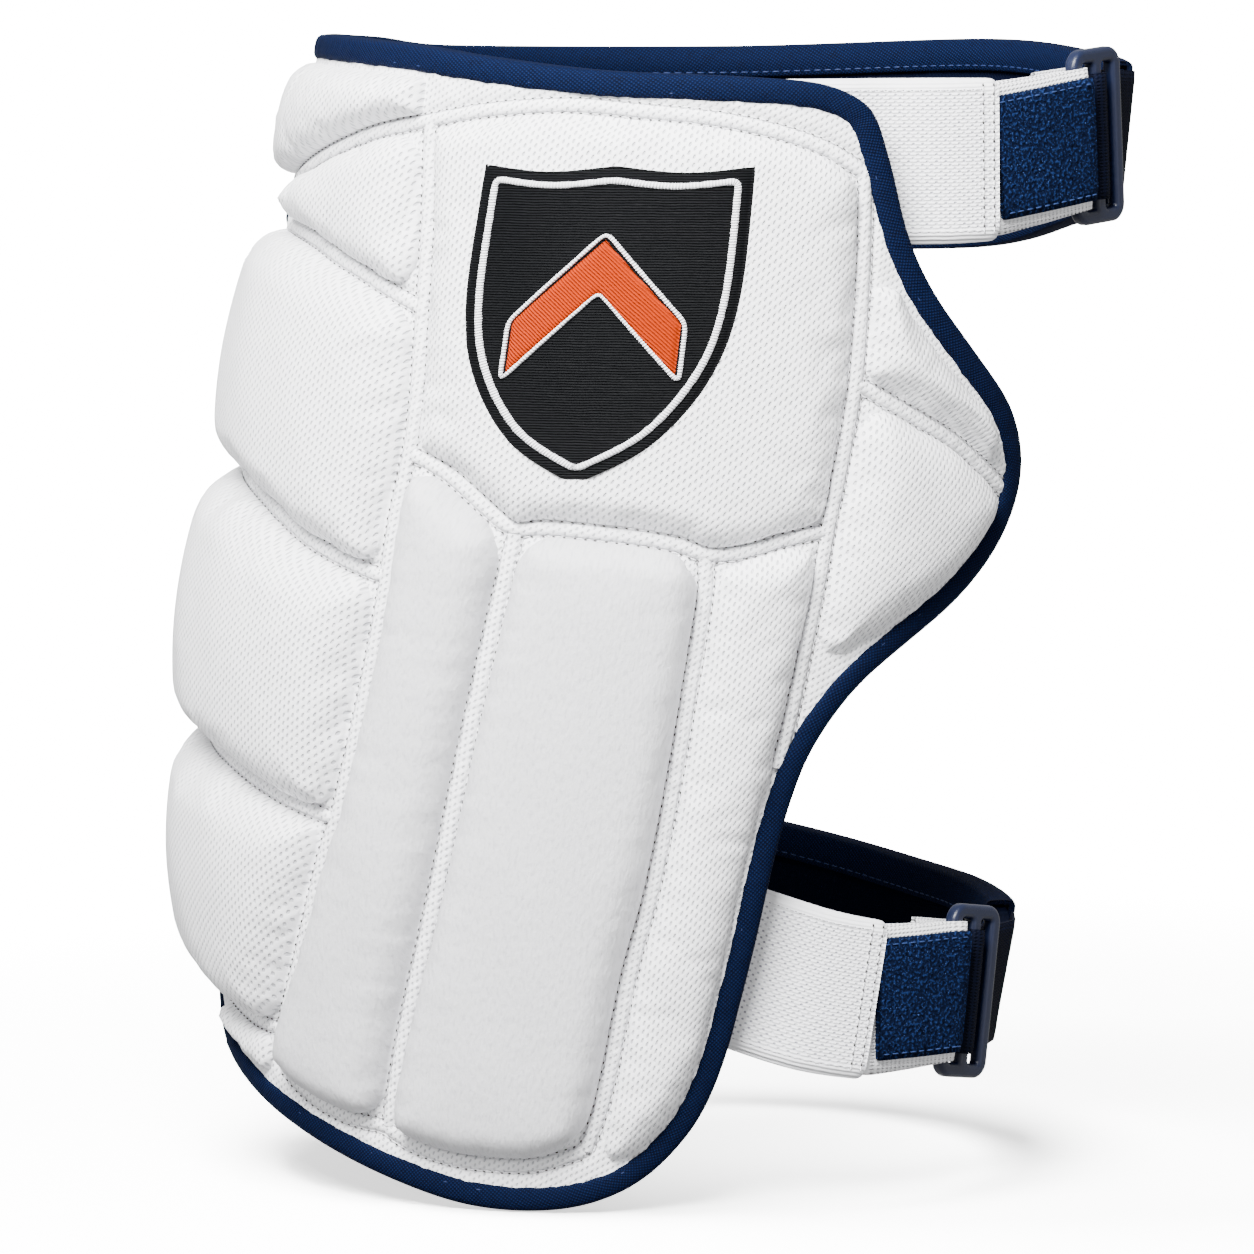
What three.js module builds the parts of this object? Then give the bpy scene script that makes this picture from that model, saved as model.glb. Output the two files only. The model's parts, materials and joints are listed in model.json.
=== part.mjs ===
// A padded thigh guard. A curved shell of navy lining and white facing carries sewn foam pads,
// navy tape binds its edge, and two straps with slides close it round the thigh.
// Units are millimetres and +Z is up. The front faces -Y, and the origin lies on the thigh's axis.
import * as THREE from "three";

// Driving sizes of the guard and of the thigh that it wraps.
const guardHeight = 300; // from the lowest point of the edge to the top edge at the front
const originShare = 0.49; // height of the origin above the lowest point, as a share of guardHeight
const thighWidth = 220;
const thighDepth = 180;
const tightestBend = { across: 46, up: 360 }; // least radii of the thigh form, round it and up it
const leanDegrees = 6.7; // the thigh's axis leans to +X as it rises

// Layers, from the thigh outwards.
const clearance = 0.3; // between pieces that lie on each other
const facetAllowance = 0.8; // more room where two curved pieces have facets of different sizes
const liningThickness = 2.2;
const facingThickness = 1.2;
const padLip = 0.8; // thickness of a pad's sewn border
const channelWidth = 4; // sewn channel between two pads

// The tape that binds the edges.
const tapeWidth = 6.5;
const tapeThickness = 1.2;
const armTapeInside = 9; // width of an arm's tape on its inner face

// The straps and their slides.
const elasticWidth = 44;
const elasticThickness = 1.8;
const tabWidth = 38;
const tabThickness = 1.5;
const patchWidth = 33;
const patchThickness = 1.6;
const webThickness = 1.2;
const webWidth = 34;
const barClearance = 0.6; // round a slide's bar
const barThickness = 4; // of a slide's bars and frame
const barSpacing = 8.6; // between the middles of neighbouring bars
const slideOpening = 39.5; // free height inside a slide
const slideYawDegrees = 50; // between +X and the slide's width, seen from above

// The embroidered emblem.
const emblemWidth = 62;
const emblemHeight = 84;
const threadThickness = 0.8;
const lineWidth = 1.8;

const white = { color: 0xf1f1f2, roughness: 0.75 };
const smoothWhite = { color: 0xeeeeef, roughness: 0.6 };
const navy = { color: 0x14264f, roughness: 0.7 };
const darkNavy = { color: 0x0b1226, roughness: 0.85 };
const slideNavy = { color: 0x10193a, roughness: 0.3 };
const black = { color: 0x0c0d10, roughness: 0.6 };
const orange = { color: 0xff5500, roughness: 0.6 };

// Sections of the thigh form. The height is a share of guardHeight above the lowest point, left and
// right are shares of half of thighWidth, and front and back are shares of half of thighDepth.
const formSections = [
  { height: -0.08, left: 0.84, right: 0.855, front: 0.93, back: 0.855 },
  { height: 0.12, left: 0.95, right: 0.88, front: 0.965, back: 0.89 },
  { height: 0.29, left: 1.05, right: 0.91, front: 0.99, back: 0.91 },
  { height: 0.49, left: 1.09, right: 0.935, front: 1.01, back: 0.945 },
  { height: 0.69, left: 1.06, right: 0.955, front: 1.02, back: 0.965 },
  { height: 0.89, left: 1.02, right: 0.94, front: 1.02, back: 0.99 },
  { height: 1.06, left: 0.99, right: 0.93, front: 1.02, back: 1 },
];

// Every outline and seam below is a list of [turn, height] rows: the turn round the thigh in degrees
// from the front, positive to +X, and the height as a share of guardHeight above the lowest point.
const notch = [-94, 0.884];
const outline = {
  bottom: [
    [-100, 0.172], [-92.5, 0.139], [-82, 0.107], [-72.5, 0.088], [-55, 0.054], [-33.3, 0.016],
    [-19.4, -0.002], [-6.4, -0.002], [2.2, 0.013], [7.5, 0.034],
  ],
  right: [
    [7.5, 0.034], [12.9, 0.076], [15.9, 0.13], [17.3, 0.19], [18.3, 0.242], [19.3, 0.312],
    [20.6, 0.364], [22.9, 0.413], [28.5, 0.465], [36, 0.502], [45.4, 0.543], [52.7, 0.594],
    [54.9, 0.651], [50.6, 0.708], [42, 0.759], [33.4, 0.813], [27.9, 0.865], [24, 0.927],
    [20.2, 0.981],
  ],
  top: [
    [-94, 1.037], [-75, 1.038], [-51.5, 1.033], [-36, 1.023], [-18, 1.012], [-5, 1.009],
    [8.8, 1.004], [14.4, 0.998], [20.2, 0.981],
  ],
  left: [
    [-100, 0.172], [-110, 0.23], [-117, 0.3], [-121, 0.4], [-122, 0.52], [-121, 0.64],
    [-117, 0.75], [-110, 0.825], [-102, 0.864], notch,
  ],
};
const seams = {
  topLeft: [[-92, 0.9], [-85, 0.907], [-76, 0.92], [-64.5, 0.939], [-54.5, 0.955], [-44.3, 0.966]],
  topRight: [
    [-44.3, 0.966], [-34, 0.977], [-22, 0.982], [-12, 0.977], [-1.5, 0.97], [8, 0.957],
    [15, 0.941], [20, 0.922],
  ],
  sideTop: [[-40.3, 0.8], [-41.2, 0.85], [-42.4, 0.9], [-44.3, 0.966]],
  sideHigh: [[-38.6, 0.672], [-38.7, 0.71], [-39.3, 0.75], [-40.3, 0.8]],
  sideMiddle: [[-39.1, 0.56], [-39.2, 0.612], [-38.6, 0.672]],
  sideLow: [[-43.8, 0.34], [-42, 0.394], [-40.4, 0.455], [-39.4, 0.515], [-39.1, 0.56]],
  sideFoot: [[-57.5, 0.14], [-52.8, 0.194], [-48.9, 0.248], [-45.4, 0.316], [-43.8, 0.34]],
  sideEnd: [[-58.3, 0.108], [-57.5, 0.14]],
  acrossHigh: [[-87, 0.864], [-80, 0.865], [-67.6, 0.856], [-59, 0.841], [-51.7, 0.827], [-40.3, 0.8]],
  acrossMiddle: [
    [-117, 0.65], [-103, 0.648], [-84.4, 0.64], [-71.2, 0.626], [-62.3, 0.608], [-55.4, 0.591],
    [-47.6, 0.575], [-39.1, 0.56],
  ],
  acrossLow: [
    [-117, 0.424], [-103, 0.412], [-85, 0.396], [-71, 0.382], [-60.3, 0.365], [-52.5, 0.352],
    [-43.8, 0.34],
  ],
  acrossFoot: [[-91, 0.182], [-84, 0.168], [-73.2, 0.154], [-65, 0.144], [-57.5, 0.14]],
  emblemLeft: [[-38.6, 0.672], [-32.3, 0.656], [-27.9, 0.636], [-23.8, 0.616], [-21.4, 0.604]],
  emblemMiddle: [[-21.4, 0.604], [-18.9, 0.61], [-12, 0.607], [-5.2, 0.602], [0.3, 0.595], [3.4, 0.585]],
  emblemRight: [[3.4, 0.585], [9.3, 0.59], [14.7, 0.6], [20.7, 0.607]],
  barLeft: [
    [-35, 0.066], [-32.9, 0.134], [-30.5, 0.195], [-28.3, 0.253], [-26.5, 0.319], [-24.6, 0.413],
    [-22.8, 0.514], [-21.4, 0.604],
  ],
  barRight: [
    [-3.6, 0.052], [-1.7, 0.102], [-0.1, 0.212], [1.7, 0.289], [3, 0.392], [3.9, 0.512],
    [4.1, 0.559], [3.4, 0.585],
  ],
  wingLow: [[18, 0.396], [19.1, 0.453], [20.3, 0.547], [20.7, 0.607]],
  wingMiddle: [[20.7, 0.607], [21.7, 0.687], [22.2, 0.737]],
  wingHigh: [[22.2, 0.737], [21.8, 0.796], [21.3, 0.85], [20.5, 0.9], [20, 0.922]],
  wingAcross: [[22.2, 0.737], [27.6, 0.72], [33.2, 0.702], [39.4, 0.683], [46.5, 0.655], [51.8, 0.634]],
  hemLeft: [[-58.3, 0.108], [-52.8, 0.088], [-45.6, 0.073], [-40, 0.067], [-35, 0.066]],
  hemRight: [[-35, 0.066], [-33, 0.055], [-24.5, 0.041], [-15.5, 0.037], [-10.3, 0.039], [-3.6, 0.052]],
};

// The straps' arms, from the shell round the back to the slides. The offset of an arm's inner face
// from the thigh form is a share of slideStandOff, and the last row ends at the slide.
const slideStandOff = 6;
const upperArmRows = [
  { turn: -94.4, bottom: 0.894, top: 1.037, offset: 0 },
  { turn: -115, bottom: 0.885, top: 1.032, offset: 0 },
  { turn: -135, bottom: 0.87, top: 1.022, offset: 0 },
  { turn: -180, bottom: 0.83, top: 1.019, offset: 0 },
  { turn: -225, bottom: 0.83, top: 1.028, offset: 0 },
  { turn: -250, bottom: 0.857, top: 1.02, offset: 0.05 },
  { turn: -270, bottom: 0.882, top: 1.012, offset: 0.3 },
  { turn: -280, bottom: 0.893, top: 1.005, offset: 0.52 },
];
const lowerArmRows = [
  { turn: -108, bottom: 0.2, top: 0.37, offset: -1.05 },
  { turn: -124, bottom: 0.2, top: 0.365, offset: -1.05 },
  { turn: -140, bottom: 0.19, top: 0.35, offset: -0.6 },
  { turn: -180, bottom: 0.14, top: 0.3, offset: 0 },
  { turn: -225, bottom: 0.11, top: 0.255, offset: 0 },
  { turn: -250, bottom: 0.103, top: 0.242, offset: 0.05 },
  { turn: -270, bottom: 0.104, top: 0.234, offset: 0.3 },
  { turn: -280, bottom: 0.108, top: 0.23, offset: 0.52 },
];

// The turns between which the arms' edges are bound.
const armBinding = {
  upper: { top: [-94.4, -269.5], bottom: [-94.4, -269.5] },
  lower: { top: [-122.5, -269.5], bottom: [-110, -269.5] },
};

// The front straps, from behind the shell's edge to the slides: the middle's turn and height, the
// offset of the strap's middle as a share of slideStandOff, the width as a share of elasticWidth,
// and how far the strap's cross direction leans to its right, in degrees.
const upperFrontRows = [
  { turn: 7, height: 0.931, offset: -0.68, width: 1, lean: -3 },
  { turn: 19, height: 0.931, offset: -0.84, width: 1, lean: -3 },
  { turn: 25.5, height: 0.931, offset: -0.84, width: 1, lean: -3 },
  { turn: 34.5, height: 0.931, offset: 0, width: 1, lean: -3 },
  { turn: 42.5, height: 0.932, offset: 0.7, width: 0.98, lean: -4 },
];
const lowerFrontRows = [
  { turn: 2, height: 0.242, offset: -0.43, width: 1, lean: 13 },
  { turn: 8, height: 0.231, offset: -0.68, width: 1, lean: 13 },
  { turn: 14, height: 0.22, offset: -0.84, width: 1, lean: 13 },
  { turn: 20, height: 0.209, offset: -0.84, width: 1, lean: 13 },
  { turn: 31, height: 0.189, offset: 0.05, width: 1, lean: 13 },
  { turn: 41, height: 0.177, offset: 0.8, width: 0.98, lean: 13 },
];
const upperSlide = { turn: 66, height: 0.949, lean: -4 };
const lowerSlide = { turn: 64, height: 0.171, lean: 9 };
const tabOverlap = 12; // length of a tab under its elastic
const tabReturn = 14; // length of a tab folded back behind its slide's first bar
const webReturn = 16; // length of webbing sewn to an arm's end

// Fineness of the meshes.
const outlineStep = 2;
const longestCell = { across: 18, up: 32 };
const shellColumns = 12;
const shellRows = { below: 21, above: 3 };
const bindingStep = 15;
const sharpestBend = 20; // degrees between two sections of tape
const armStep = 15;
const wrapSteps = 8;
const frontSteps = 9;

const degrees = Math.PI / 180;
const patternRadius = (thighWidth + thighDepth) / 4;
const shellOuter = liningThickness + clearance + facingThickness;

// Pattern points are laid out flat: x runs round the thigh and y is the height, both in millimetres.
function patternPoint([turn, height]) {
  return new THREE.Vector2(turn * degrees * patternRadius, (height - originShare) * guardHeight);
}

// The value of one column of a table of rows at a key, by a cubic through the rows.
function columnAt(rows, key, column, value) {
  const direction = Math.sign(rows.at(-1)[key] - rows[0][key]);
  let i = 0;
  while (i < rows.length - 2 && direction * (value - rows[i + 1][key]) > 0) i++;
  const slopeAt = (j) => {
    const before = rows[Math.max(j - 1, 0)];
    const after = rows[Math.min(j + 1, rows.length - 1)];
    return (after[column] - before[column]) / (after[key] - before[key]);
  };
  const span = rows[i + 1][key] - rows[i][key];
  const t = THREE.MathUtils.clamp((value - rows[i][key]) / span, 0, 1);
  return (
    rows[i][column] * (2 * t ** 3 - 3 * t ** 2 + 1) +
    slopeAt(i) * span * (t ** 3 - 2 * t ** 2 + t) +
    rows[i + 1][column] * (3 * t ** 2 - 2 * t ** 3) +
    slopeAt(i + 1) * span * (t ** 3 - t ** 2)
  );
}

// The point at an offset outside the thigh form, over a pattern point.
function onForm(pattern, offset) {
  const turn = pattern.x / patternRadius;
  const height = pattern.y / guardHeight + originShare;
  const share = (column) => columnAt(formSections, "height", column, height);
  const across = (thighWidth / 2) * share(Math.sin(turn) < 0 ? "left" : "right");
  const along = (thighDepth / 2) * share(Math.cos(turn) > 0 ? "front" : "back");
  const normal = new THREE.Vector3(along * Math.sin(turn), -across * Math.cos(turn), 0).normalize();
  const centre = pattern.y * Math.tan(leanDegrees * degrees);
  return new THREE.Vector3(centre + across * Math.sin(turn), -along * Math.cos(turn), pattern.y)
    .addScaledVector(normal, offset);
}

// A smooth run of pattern points through the rows of an outline or a seam.
function run(rows) {
  const curve = new THREE.SplineCurve(rows.map(patternPoint));
  return curve.getSpacedPoints(Math.max(4, Math.round(curve.getLength() / outlineStep)));
}

const startOf = (points) => points[0];
const endOf = (points) => points.at(-1);
const backwards = (points) => [...points].reverse();
const joined = (...runs) => runs.flatMap((points, i) => (i ? points.slice(1) : points));

function lengthOf(points) {
  return points.slice(1).reduce((sum, p, i) => sum + p.distanceTo(points[i]), 0);
}

// The point at a share of a polyline's length.
function pointAlong(points, share) {
  let left = THREE.MathUtils.clamp(share, 0, 1) * lengthOf(points);
  for (let i = 1; i < points.length; i++) {
    const step = points[i].distanceTo(points[i - 1]);
    if (left <= step || i === points.length - 1) {
      return points[i - 1].clone().lerp(points[i], step ? Math.min(left / step, 1) : 0);
    }
    left -= step;
  }
}

// Four sides drawn in by a distance, with their corners eased. The bottom and top run from left to
// right, and the left and right sides run from bottom to top.
function drawnIn(sides, distance, easing = 2) {
  const loopRuns = [sides.bottom, sides.right, backwards(sides.top), backwards(sides.left)];
  const ring = [];
  const corners = [];
  for (const points of loopRuns) {
    corners.push(ring.length);
    const count = Math.max(2, Math.round(lengthOf(points) / outlineStep));
    for (let i = 0; i < count; i++) ring.push(pointAlong(points, i / count));
  }
  const steps = 4;
  for (let step = 0; step < steps; step++) moveIn(ring, distance / steps);
  for (let step = 0; step < easing; step++) ease(ring);
  const side = (k) => {
    const from = corners[k];
    const to = k === 3 ? ring.length : corners[k + 1];
    return Array.from({ length: to - from + 1 }, (_, i) => ring[(from + i) % ring.length].clone());
  };
  return { bottom: side(0), right: side(1), top: backwards(side(2)), left: backwards(side(3)), ring };
}

function moveIn(ring, distance) {
  const moved = ring.map((p, i) => {
    const before = ring[(i + ring.length - 1) % ring.length];
    const after = ring[(i + 1) % ring.length];
    const inward = new THREE.Vector2(before.y - after.y, after.x - before.x).normalize();
    return p.clone().addScaledVector(inward, distance);
  });
  ring.forEach((p, i) => p.copy(moved[i]));
}

function ease(ring) {
  const moved = ring.map((p, i) => {
    const before = ring[(i + ring.length - 1) % ring.length];
    const after = ring[(i + 1) % ring.length];
    return p.clone().multiplyScalar(2).add(before).add(after).divideScalar(4);
  });
  ring.forEach((p, i) => p.copy(moved[i]));
}

// A point inside four sides, by the blend of opposite sides that is named after Coons.
function blended(sides, u, v) {
  const [bottom, top] = [pointAlong(sides.bottom, u), pointAlong(sides.top, u)];
  const [left, right] = [pointAlong(sides.left, v), pointAlong(sides.right, v)];
  const [p00, p10] = [sides.bottom[0], sides.bottom.at(-1)];
  const [p01, p11] = [sides.top[0], sides.top.at(-1)];
  const mix = (name) =>
    (1 - v) * bottom[name] + v * top[name] + (1 - u) * left[name] + u * right[name] -
    (1 - u) * (1 - v) * p00[name] - u * (1 - v) * p10[name] -
    (1 - u) * v * p01[name] - u * v * p11[name];
  return new THREE.Vector2(mix("x"), mix("y"));
}

function distanceToRing(ring, point) {
  let nearest = Infinity;
  ring.forEach((a, i) => {
    const b = ring[(i + 1) % ring.length];
    const edge = b.clone().sub(a);
    const share = point.clone().sub(a).dot(edge) / Math.max(edge.lengthSq(), 1e-9);
    const foot = a.clone().addScaledVector(edge, THREE.MathUtils.clamp(share, 0, 1));
    nearest = Math.min(nearest, foot.distanceTo(point));
  });
  return nearest;
}

// A closed mesh from points and triangles, with its faces turned outwards.
function closedGeometry(points, triangles) {
  const volume = triangles.reduce(
    (sum, [a, b, c]) => sum + points[a].dot(new THREE.Vector3().crossVectors(points[b], points[c])),
    0,
  );
  const facing = volume > 0 ? triangles : triangles.map(([a, b, c]) => [a, c, b]);
  const geometry = new THREE.BufferGeometry().setFromPoints(points);
  geometry.setIndex(facing.flat());
  geometry.computeVertexNormals();
  return geometry;
}

// A sheet of varying thickness between two grids of points that share their columns and rows.
function sheetGeometry(columns, rows, pointAt) {
  const points = [];
  const index = (side, i, j) => (side * columns + i) * rows + j;
  for (const side of [0, 1]) {
    for (let i = 0; i < columns; i++) {
      for (let j = 0; j < rows; j++) points.push(pointAt(side, i, j));
    }
  }
  const triangles = [];
  const quad = (a, b, c, d) => triangles.push([a, b, c], [a, c, d]);
  const [right, top] = [columns - 1, rows - 1];
  for (let i = 0; i < right; i++) {
    for (let j = 0; j < top; j++) {
      quad(index(1, i, j), index(1, i + 1, j), index(1, i + 1, j + 1), index(1, i, j + 1));
      quad(index(0, i, j), index(0, i, j + 1), index(0, i + 1, j + 1), index(0, i + 1, j));
    }
    quad(index(0, i, 0), index(0, i + 1, 0), index(1, i + 1, 0), index(1, i, 0));
    quad(index(1, i, top), index(1, i + 1, top), index(0, i + 1, top), index(0, i, top));
  }
  for (let j = 0; j < top; j++) {
    quad(index(1, 0, j), index(1, 0, j + 1), index(0, 0, j + 1), index(0, 0, j));
    quad(index(0, right, j), index(0, right, j + 1), index(1, right, j + 1), index(1, right, j));
  }
  return closedGeometry(points, triangles);
}

// A solid lofted through rings of equal length, closed end to end or capped.
function loftGeometry(rings, closed = false) {
  const size = rings[0].length;
  const triangles = [];
  const last = closed ? rings.length : rings.length - 1;
  for (let i = 0; i < last; i++) {
    const next = (i + 1) % rings.length;
    for (let j = 0; j < size; j++) {
      const k = (j + 1) % size;
      triangles.push([i * size + j, next * size + j, next * size + k]);
      triangles.push([i * size + j, next * size + k, i * size + k]);
    }
  }
  if (!closed) {
    const flat = capTriangles(rings[0]);
    const end = (rings.length - 1) * size;
    for (const [a, b, c] of flat) triangles.push([a, b, c], [end + a, end + c, end + b]);
  }
  return closedGeometry(rings.flat(), triangles);
}

// Triangles over a planar ring, wound so that they close a loft at its first ring.
function capTriangles(ring) {
  const across = ring[1].clone().sub(ring[0]).normalize();
  const normal = new THREE.Vector3();
  ring.forEach((p, i) => normal.add(new THREE.Vector3().crossVectors(p, ring[(i + 1) % ring.length])));
  const up = new THREE.Vector3().crossVectors(normal.normalize(), across);
  const flat = ring.map((p) => new THREE.Vector2(p.dot(across), p.dot(up)));
  return THREE.ShapeUtils.triangulateShape(flat, []);
}

// Shares of a length at which a grid has lines: close by the ends, where a pad rounds off, and
// no further apart than the longest cell between.
function gridShares(length, rounding, longest) {
  const edge = [0, 0.15 * rounding, 0.5 * rounding, rounding].map((d) => d / length);
  if (edge[3] > 0.45) return [0, 0.12, 0.32, 0.5, 0.68, 0.88, 1];
  const inner = Math.max(1, Math.round((length * (1 - 2 * edge[3])) / longest));
  const middle = Array.from({ length: inner - 1 }, (_, i) =>
    THREE.MathUtils.lerp(edge[3], 1 - edge[3], (i + 1) / inner));
  return [...edge, ...middle, ...backwards(edge).map((share) => 1 - share)];
}

// The flat plan of a pad between its seams: a grid inside the sewn channels, and the offset of its
// underside, which leaves room below it for its facets to cut across the curve of the form.
function padPlan({ sides, rounding, cell = longestCell }) {
  const inner = drawnIn(sides, channelWidth / 2 + clearance / 2);
  const across = (lengthOf(inner.bottom) + lengthOf(inner.top)) / 2;
  const up = (lengthOf(inner.left) + lengthOf(inner.right)) / 2;
  const us = gridShares(across, rounding, cell.across);
  const vs = gridShares(up, rounding, cell.up);
  const widest = (shares) => Math.max(...shares.slice(1).map((share, i) => share - shares[i]));
  const dip = (cell, bend) => cell ** 2 / (8 * bend);
  const dips = dip(widest(us) * across, tightestBend.across) + dip(widest(vs) * up, tightestBend.up);
  return { inner, us, vs, seat: shellOuter + clearance + dips };
}

// A crowned foam pad. It rounds off over a distance from its border and rises by its dome from
// there to its middle.
function padGeometry(pad) {
  const { height, rounding, dome = 0 } = pad;
  const { inner, us, vs, seat } = padPlan(pad);
  const flat = us.map((u) => vs.map((v) => blended(inner, u, v)));
  const depth = flat.map((column) => column.map((p) => distanceToRing(inner.ring, p)));
  const deepest = Math.max(...depth.flat());
  return sheetGeometry(us.length, vs.length, (side, i, j) => {
    if (side === 0) return onForm(flat[i][j], seat);
    const edge = 1 - Math.min(depth[i][j] / rounding, 1);
    const rise = height * Math.sqrt(1 - edge ** 2) + dome * (1 - (1 - depth[i][j] / deepest) ** 2);
    return onForm(flat[i][j], seat + padLip + rise);
  });
}

// The shell's own sides. Above the notch the upper strap's arm butts against it without tape, so
// that part stands out by most of what is drawn in for the tape elsewhere.
const tapeSeat = tapeThickness + clearance + facetAllowance;
const butt = (height) => patternPoint([notch[0], height]).add(new THREE.Vector2(1 - tapeSeat, 0));
const buttCorner = butt(notch[1] - 0.014);
const shellSides = {
  bottom: run(outline.bottom),
  right: run(outline.right),
  top: [butt(outline.top[0][1]), ...run(outline.top)],
  left: [...run(outline.left.slice(0, -1)), buttCorner, butt(outline.top[0][1])],
};
const notchShare = 1 - buttCorner.distanceTo(endOf(shellSides.left)) / lengthOf(shellSides.left);

// The line just inside the tape, where the pads' outer borders lie once the channel is taken off.
const tapeLine = drawnIn(shellSides, tapeWidth + clearance + facetAllowance - channelWidth / 2).ring;

// The stretch of tapeLine between the points nearest to two ends, the shorter way round.
function edgeRun(from, to) {
  const nearest = (point) => {
    const distances = tapeLine.map((p) => p.distanceTo(point));
    return distances.indexOf(Math.min(...distances));
  };
  const [a, b] = [nearest(from), nearest(to)];
  const total = tapeLine.length;
  const ahead = (b - a + total) % total;
  const count = Math.min(ahead, total - ahead);
  const step = ahead === count ? 1 : -1;
  return Array.from({ length: count + 1 }, (_, i) => tapeLine[(a + step * i + total) % total].clone());
}

const seam = Object.fromEntries(Object.entries(seams).map(([name, rows]) => [name, run(rows)]));

// Beyond these places the ground between two seams, or a seam and the edge, is too narrow for a pad:
// the turns where the foot pad, the lowest side pad and the corner pad start and the upper wing pad
// ends, and the heights between which the wing is padded.
const footStart = -81;
const sideStart = -87;
const cornerStart = -82;
const wingTip = 49;
const wingStart = 0.475;
const wingEnd = 0.835;
const seamAbove = (points, height) => points.filter((p) => p.y >= patternPoint([0, height]).y);
const seamBelow = (points, height) => points.filter((p) => p.y <= patternPoint([0, height]).y);
const seamRightOf = (points, turn) => points.filter((p) => p.x >= patternPoint([turn, 0]).x);
const seamLeftOf = (points, turn) => points.filter((p) => p.x <= patternPoint([turn, 0]).x);

// The edge runs between the seams that reach the edge.
const edge = {
  upperSide: edgeRun(startOf(seam.acrossMiddle), startOf(seam.acrossHigh)),
  middleSide: edgeRun(startOf(seam.acrossLow), startOf(seam.acrossMiddle)),
  lowerSide: edgeRun(patternPoint([-94.5, 0.205]), startOf(seam.acrossLow)),
  foot: edgeRun(patternPoint([footStart, 0.13]), patternPoint([-59.3, 0.085])),
  right: edgeRun(patternPoint([-1.5, 0.02]), startOf(seam.wingLow)),
  wingLow: edgeRun(patternPoint([27.7, wingStart]), endOf(seam.wingAcross)),
  wingHigh: edgeRun(patternPoint([50.5, 0.69]), patternPoint([28.5, wingEnd])),
};

// The strip of pads along the top edge wraps on to the arm as far as rollEnd.
const rollEnd = -134;
const inArm = (row, name, sign) =>
  patternPoint([row.turn, row[name] + (sign * (tapeWidth + tapeSeat - channelWidth / 2)) / guardHeight]);
const armRowsUnderRoll = upperArmRows.filter((row) => row.turn > rollEnd - 2).reverse();
const rollBottom = joined(
  armRowsUnderRoll.map((row) => inArm(row, "bottom", 1)),
  seam.topLeft,
);
const rollTop = joined(
  armRowsUnderRoll.map((row) => inArm(row, "top", -1)),
  edgeRun(patternPoint([-93, 1.017]), patternPoint([seams.topLeft.at(-1)[0], 1])),
);

const pads = {
  top_roll: {
    sides: {
      bottom: rollBottom,
      right: [endOf(rollBottom), endOf(rollTop)],
      top: rollTop,
      left: [startOf(rollBottom), startOf(rollTop)],
    },
    height: 5.5, rounding: 6, dome: 1.5, look: white,
  },
  corner_pad: {
    sides: {
      bottom: seamRightOf(seam.acrossHigh, cornerStart),
      right: seam.sideTop,
      top: seamRightOf(seam.topLeft, cornerStart),
      left: [seamRightOf(seam.acrossHigh, cornerStart)[0], seamRightOf(seam.topLeft, cornerStart)[0]],
    },
    height: 4.5, rounding: 8, dome: 2.5, look: white,
  },
  emblem_pad: {
    sides: {
      bottom: joined(seam.emblemLeft, seam.emblemMiddle, seam.emblemRight),
      right: joined(seam.wingMiddle, seam.wingHigh),
      top: seam.topRight,
      left: joined(seam.sideHigh, seam.sideTop),
    },
    height: 4.5, rounding: 9, dome: 0, look: white, cell: { across: 10, up: 24 },
  },
  side_pad_1: {
    sides: {
      bottom: seam.acrossMiddle,
      right: joined(seam.sideMiddle, seam.sideHigh),
      top: seam.acrossHigh,
      left: edge.upperSide,
    },
    height: 7, rounding: 12, dome: 3, look: white,
  },
  side_pad_2: {
    sides: { bottom: seam.acrossLow, right: seam.sideLow, top: seam.acrossMiddle, left: edge.middleSide },
    height: 7, rounding: 12, dome: 3, look: white,
  },
  side_pad_3: {
    sides: {
      bottom: seamRightOf(seam.acrossFoot, sideStart),
      right: seam.sideFoot,
      top: seam.acrossLow,
      left: edge.lowerSide,
    },
    height: 7, rounding: 12, dome: 3, look: white,
  },
  side_foot: {
    sides: {
      bottom: edge.foot,
      right: [endOf(edge.foot), endOf(seam.acrossFoot)],
      top: seamRightOf(seam.acrossFoot, footStart),
      left: [startOf(edge.foot), seamRightOf(seam.acrossFoot, footStart)[0]],
    },
    height: 1.8, rounding: 5, look: white,
  },
  bar_left: {
    sides: {
      bottom: seam.hemLeft,
      right: seam.barLeft,
      top: seam.emblemLeft,
      left: joined(seam.sideEnd, seam.sideFoot, seam.sideLow, seam.sideMiddle),
    },
    height: 6, rounding: 8, dome: 2, look: smoothWhite,
  },
  bar_centre: {
    sides: { bottom: seam.hemRight, right: seam.barRight, top: seam.emblemMiddle, left: seam.barLeft },
    height: 7, rounding: 8, dome: 1.5, look: smoothWhite,
  },
  bar_right: {
    sides: {
      bottom: [endOf(seam.hemRight), startOf(edge.right)],
      right: joined(edge.right, seam.wingLow),
      top: seam.emblemRight,
      left: seam.barRight,
    },
    height: 5, rounding: 8, dome: 2, look: white,
  },
  wing_lower: {
    sides: {
      bottom: [seamAbove(seam.wingLow, wingStart)[0], startOf(edge.wingLow)],
      right: edge.wingLow,
      top: seam.wingAcross,
      left: joined(seamAbove(seam.wingLow, wingStart), seam.wingMiddle),
    },
    height: 5, rounding: 11, dome: 2.5, look: white,
  },
  wing_upper: {
    sides: {
      bottom: seamLeftOf(seam.wingAcross, wingTip),
      right: edge.wingHigh,
      top: [endOf(seamBelow(seam.wingHigh, wingEnd)), endOf(edge.wingHigh)],
      left: seamBelow(seam.wingHigh, wingEnd),
    },
    height: 5, rounding: 10, dome: 1.5, look: white,
  },
};

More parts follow.
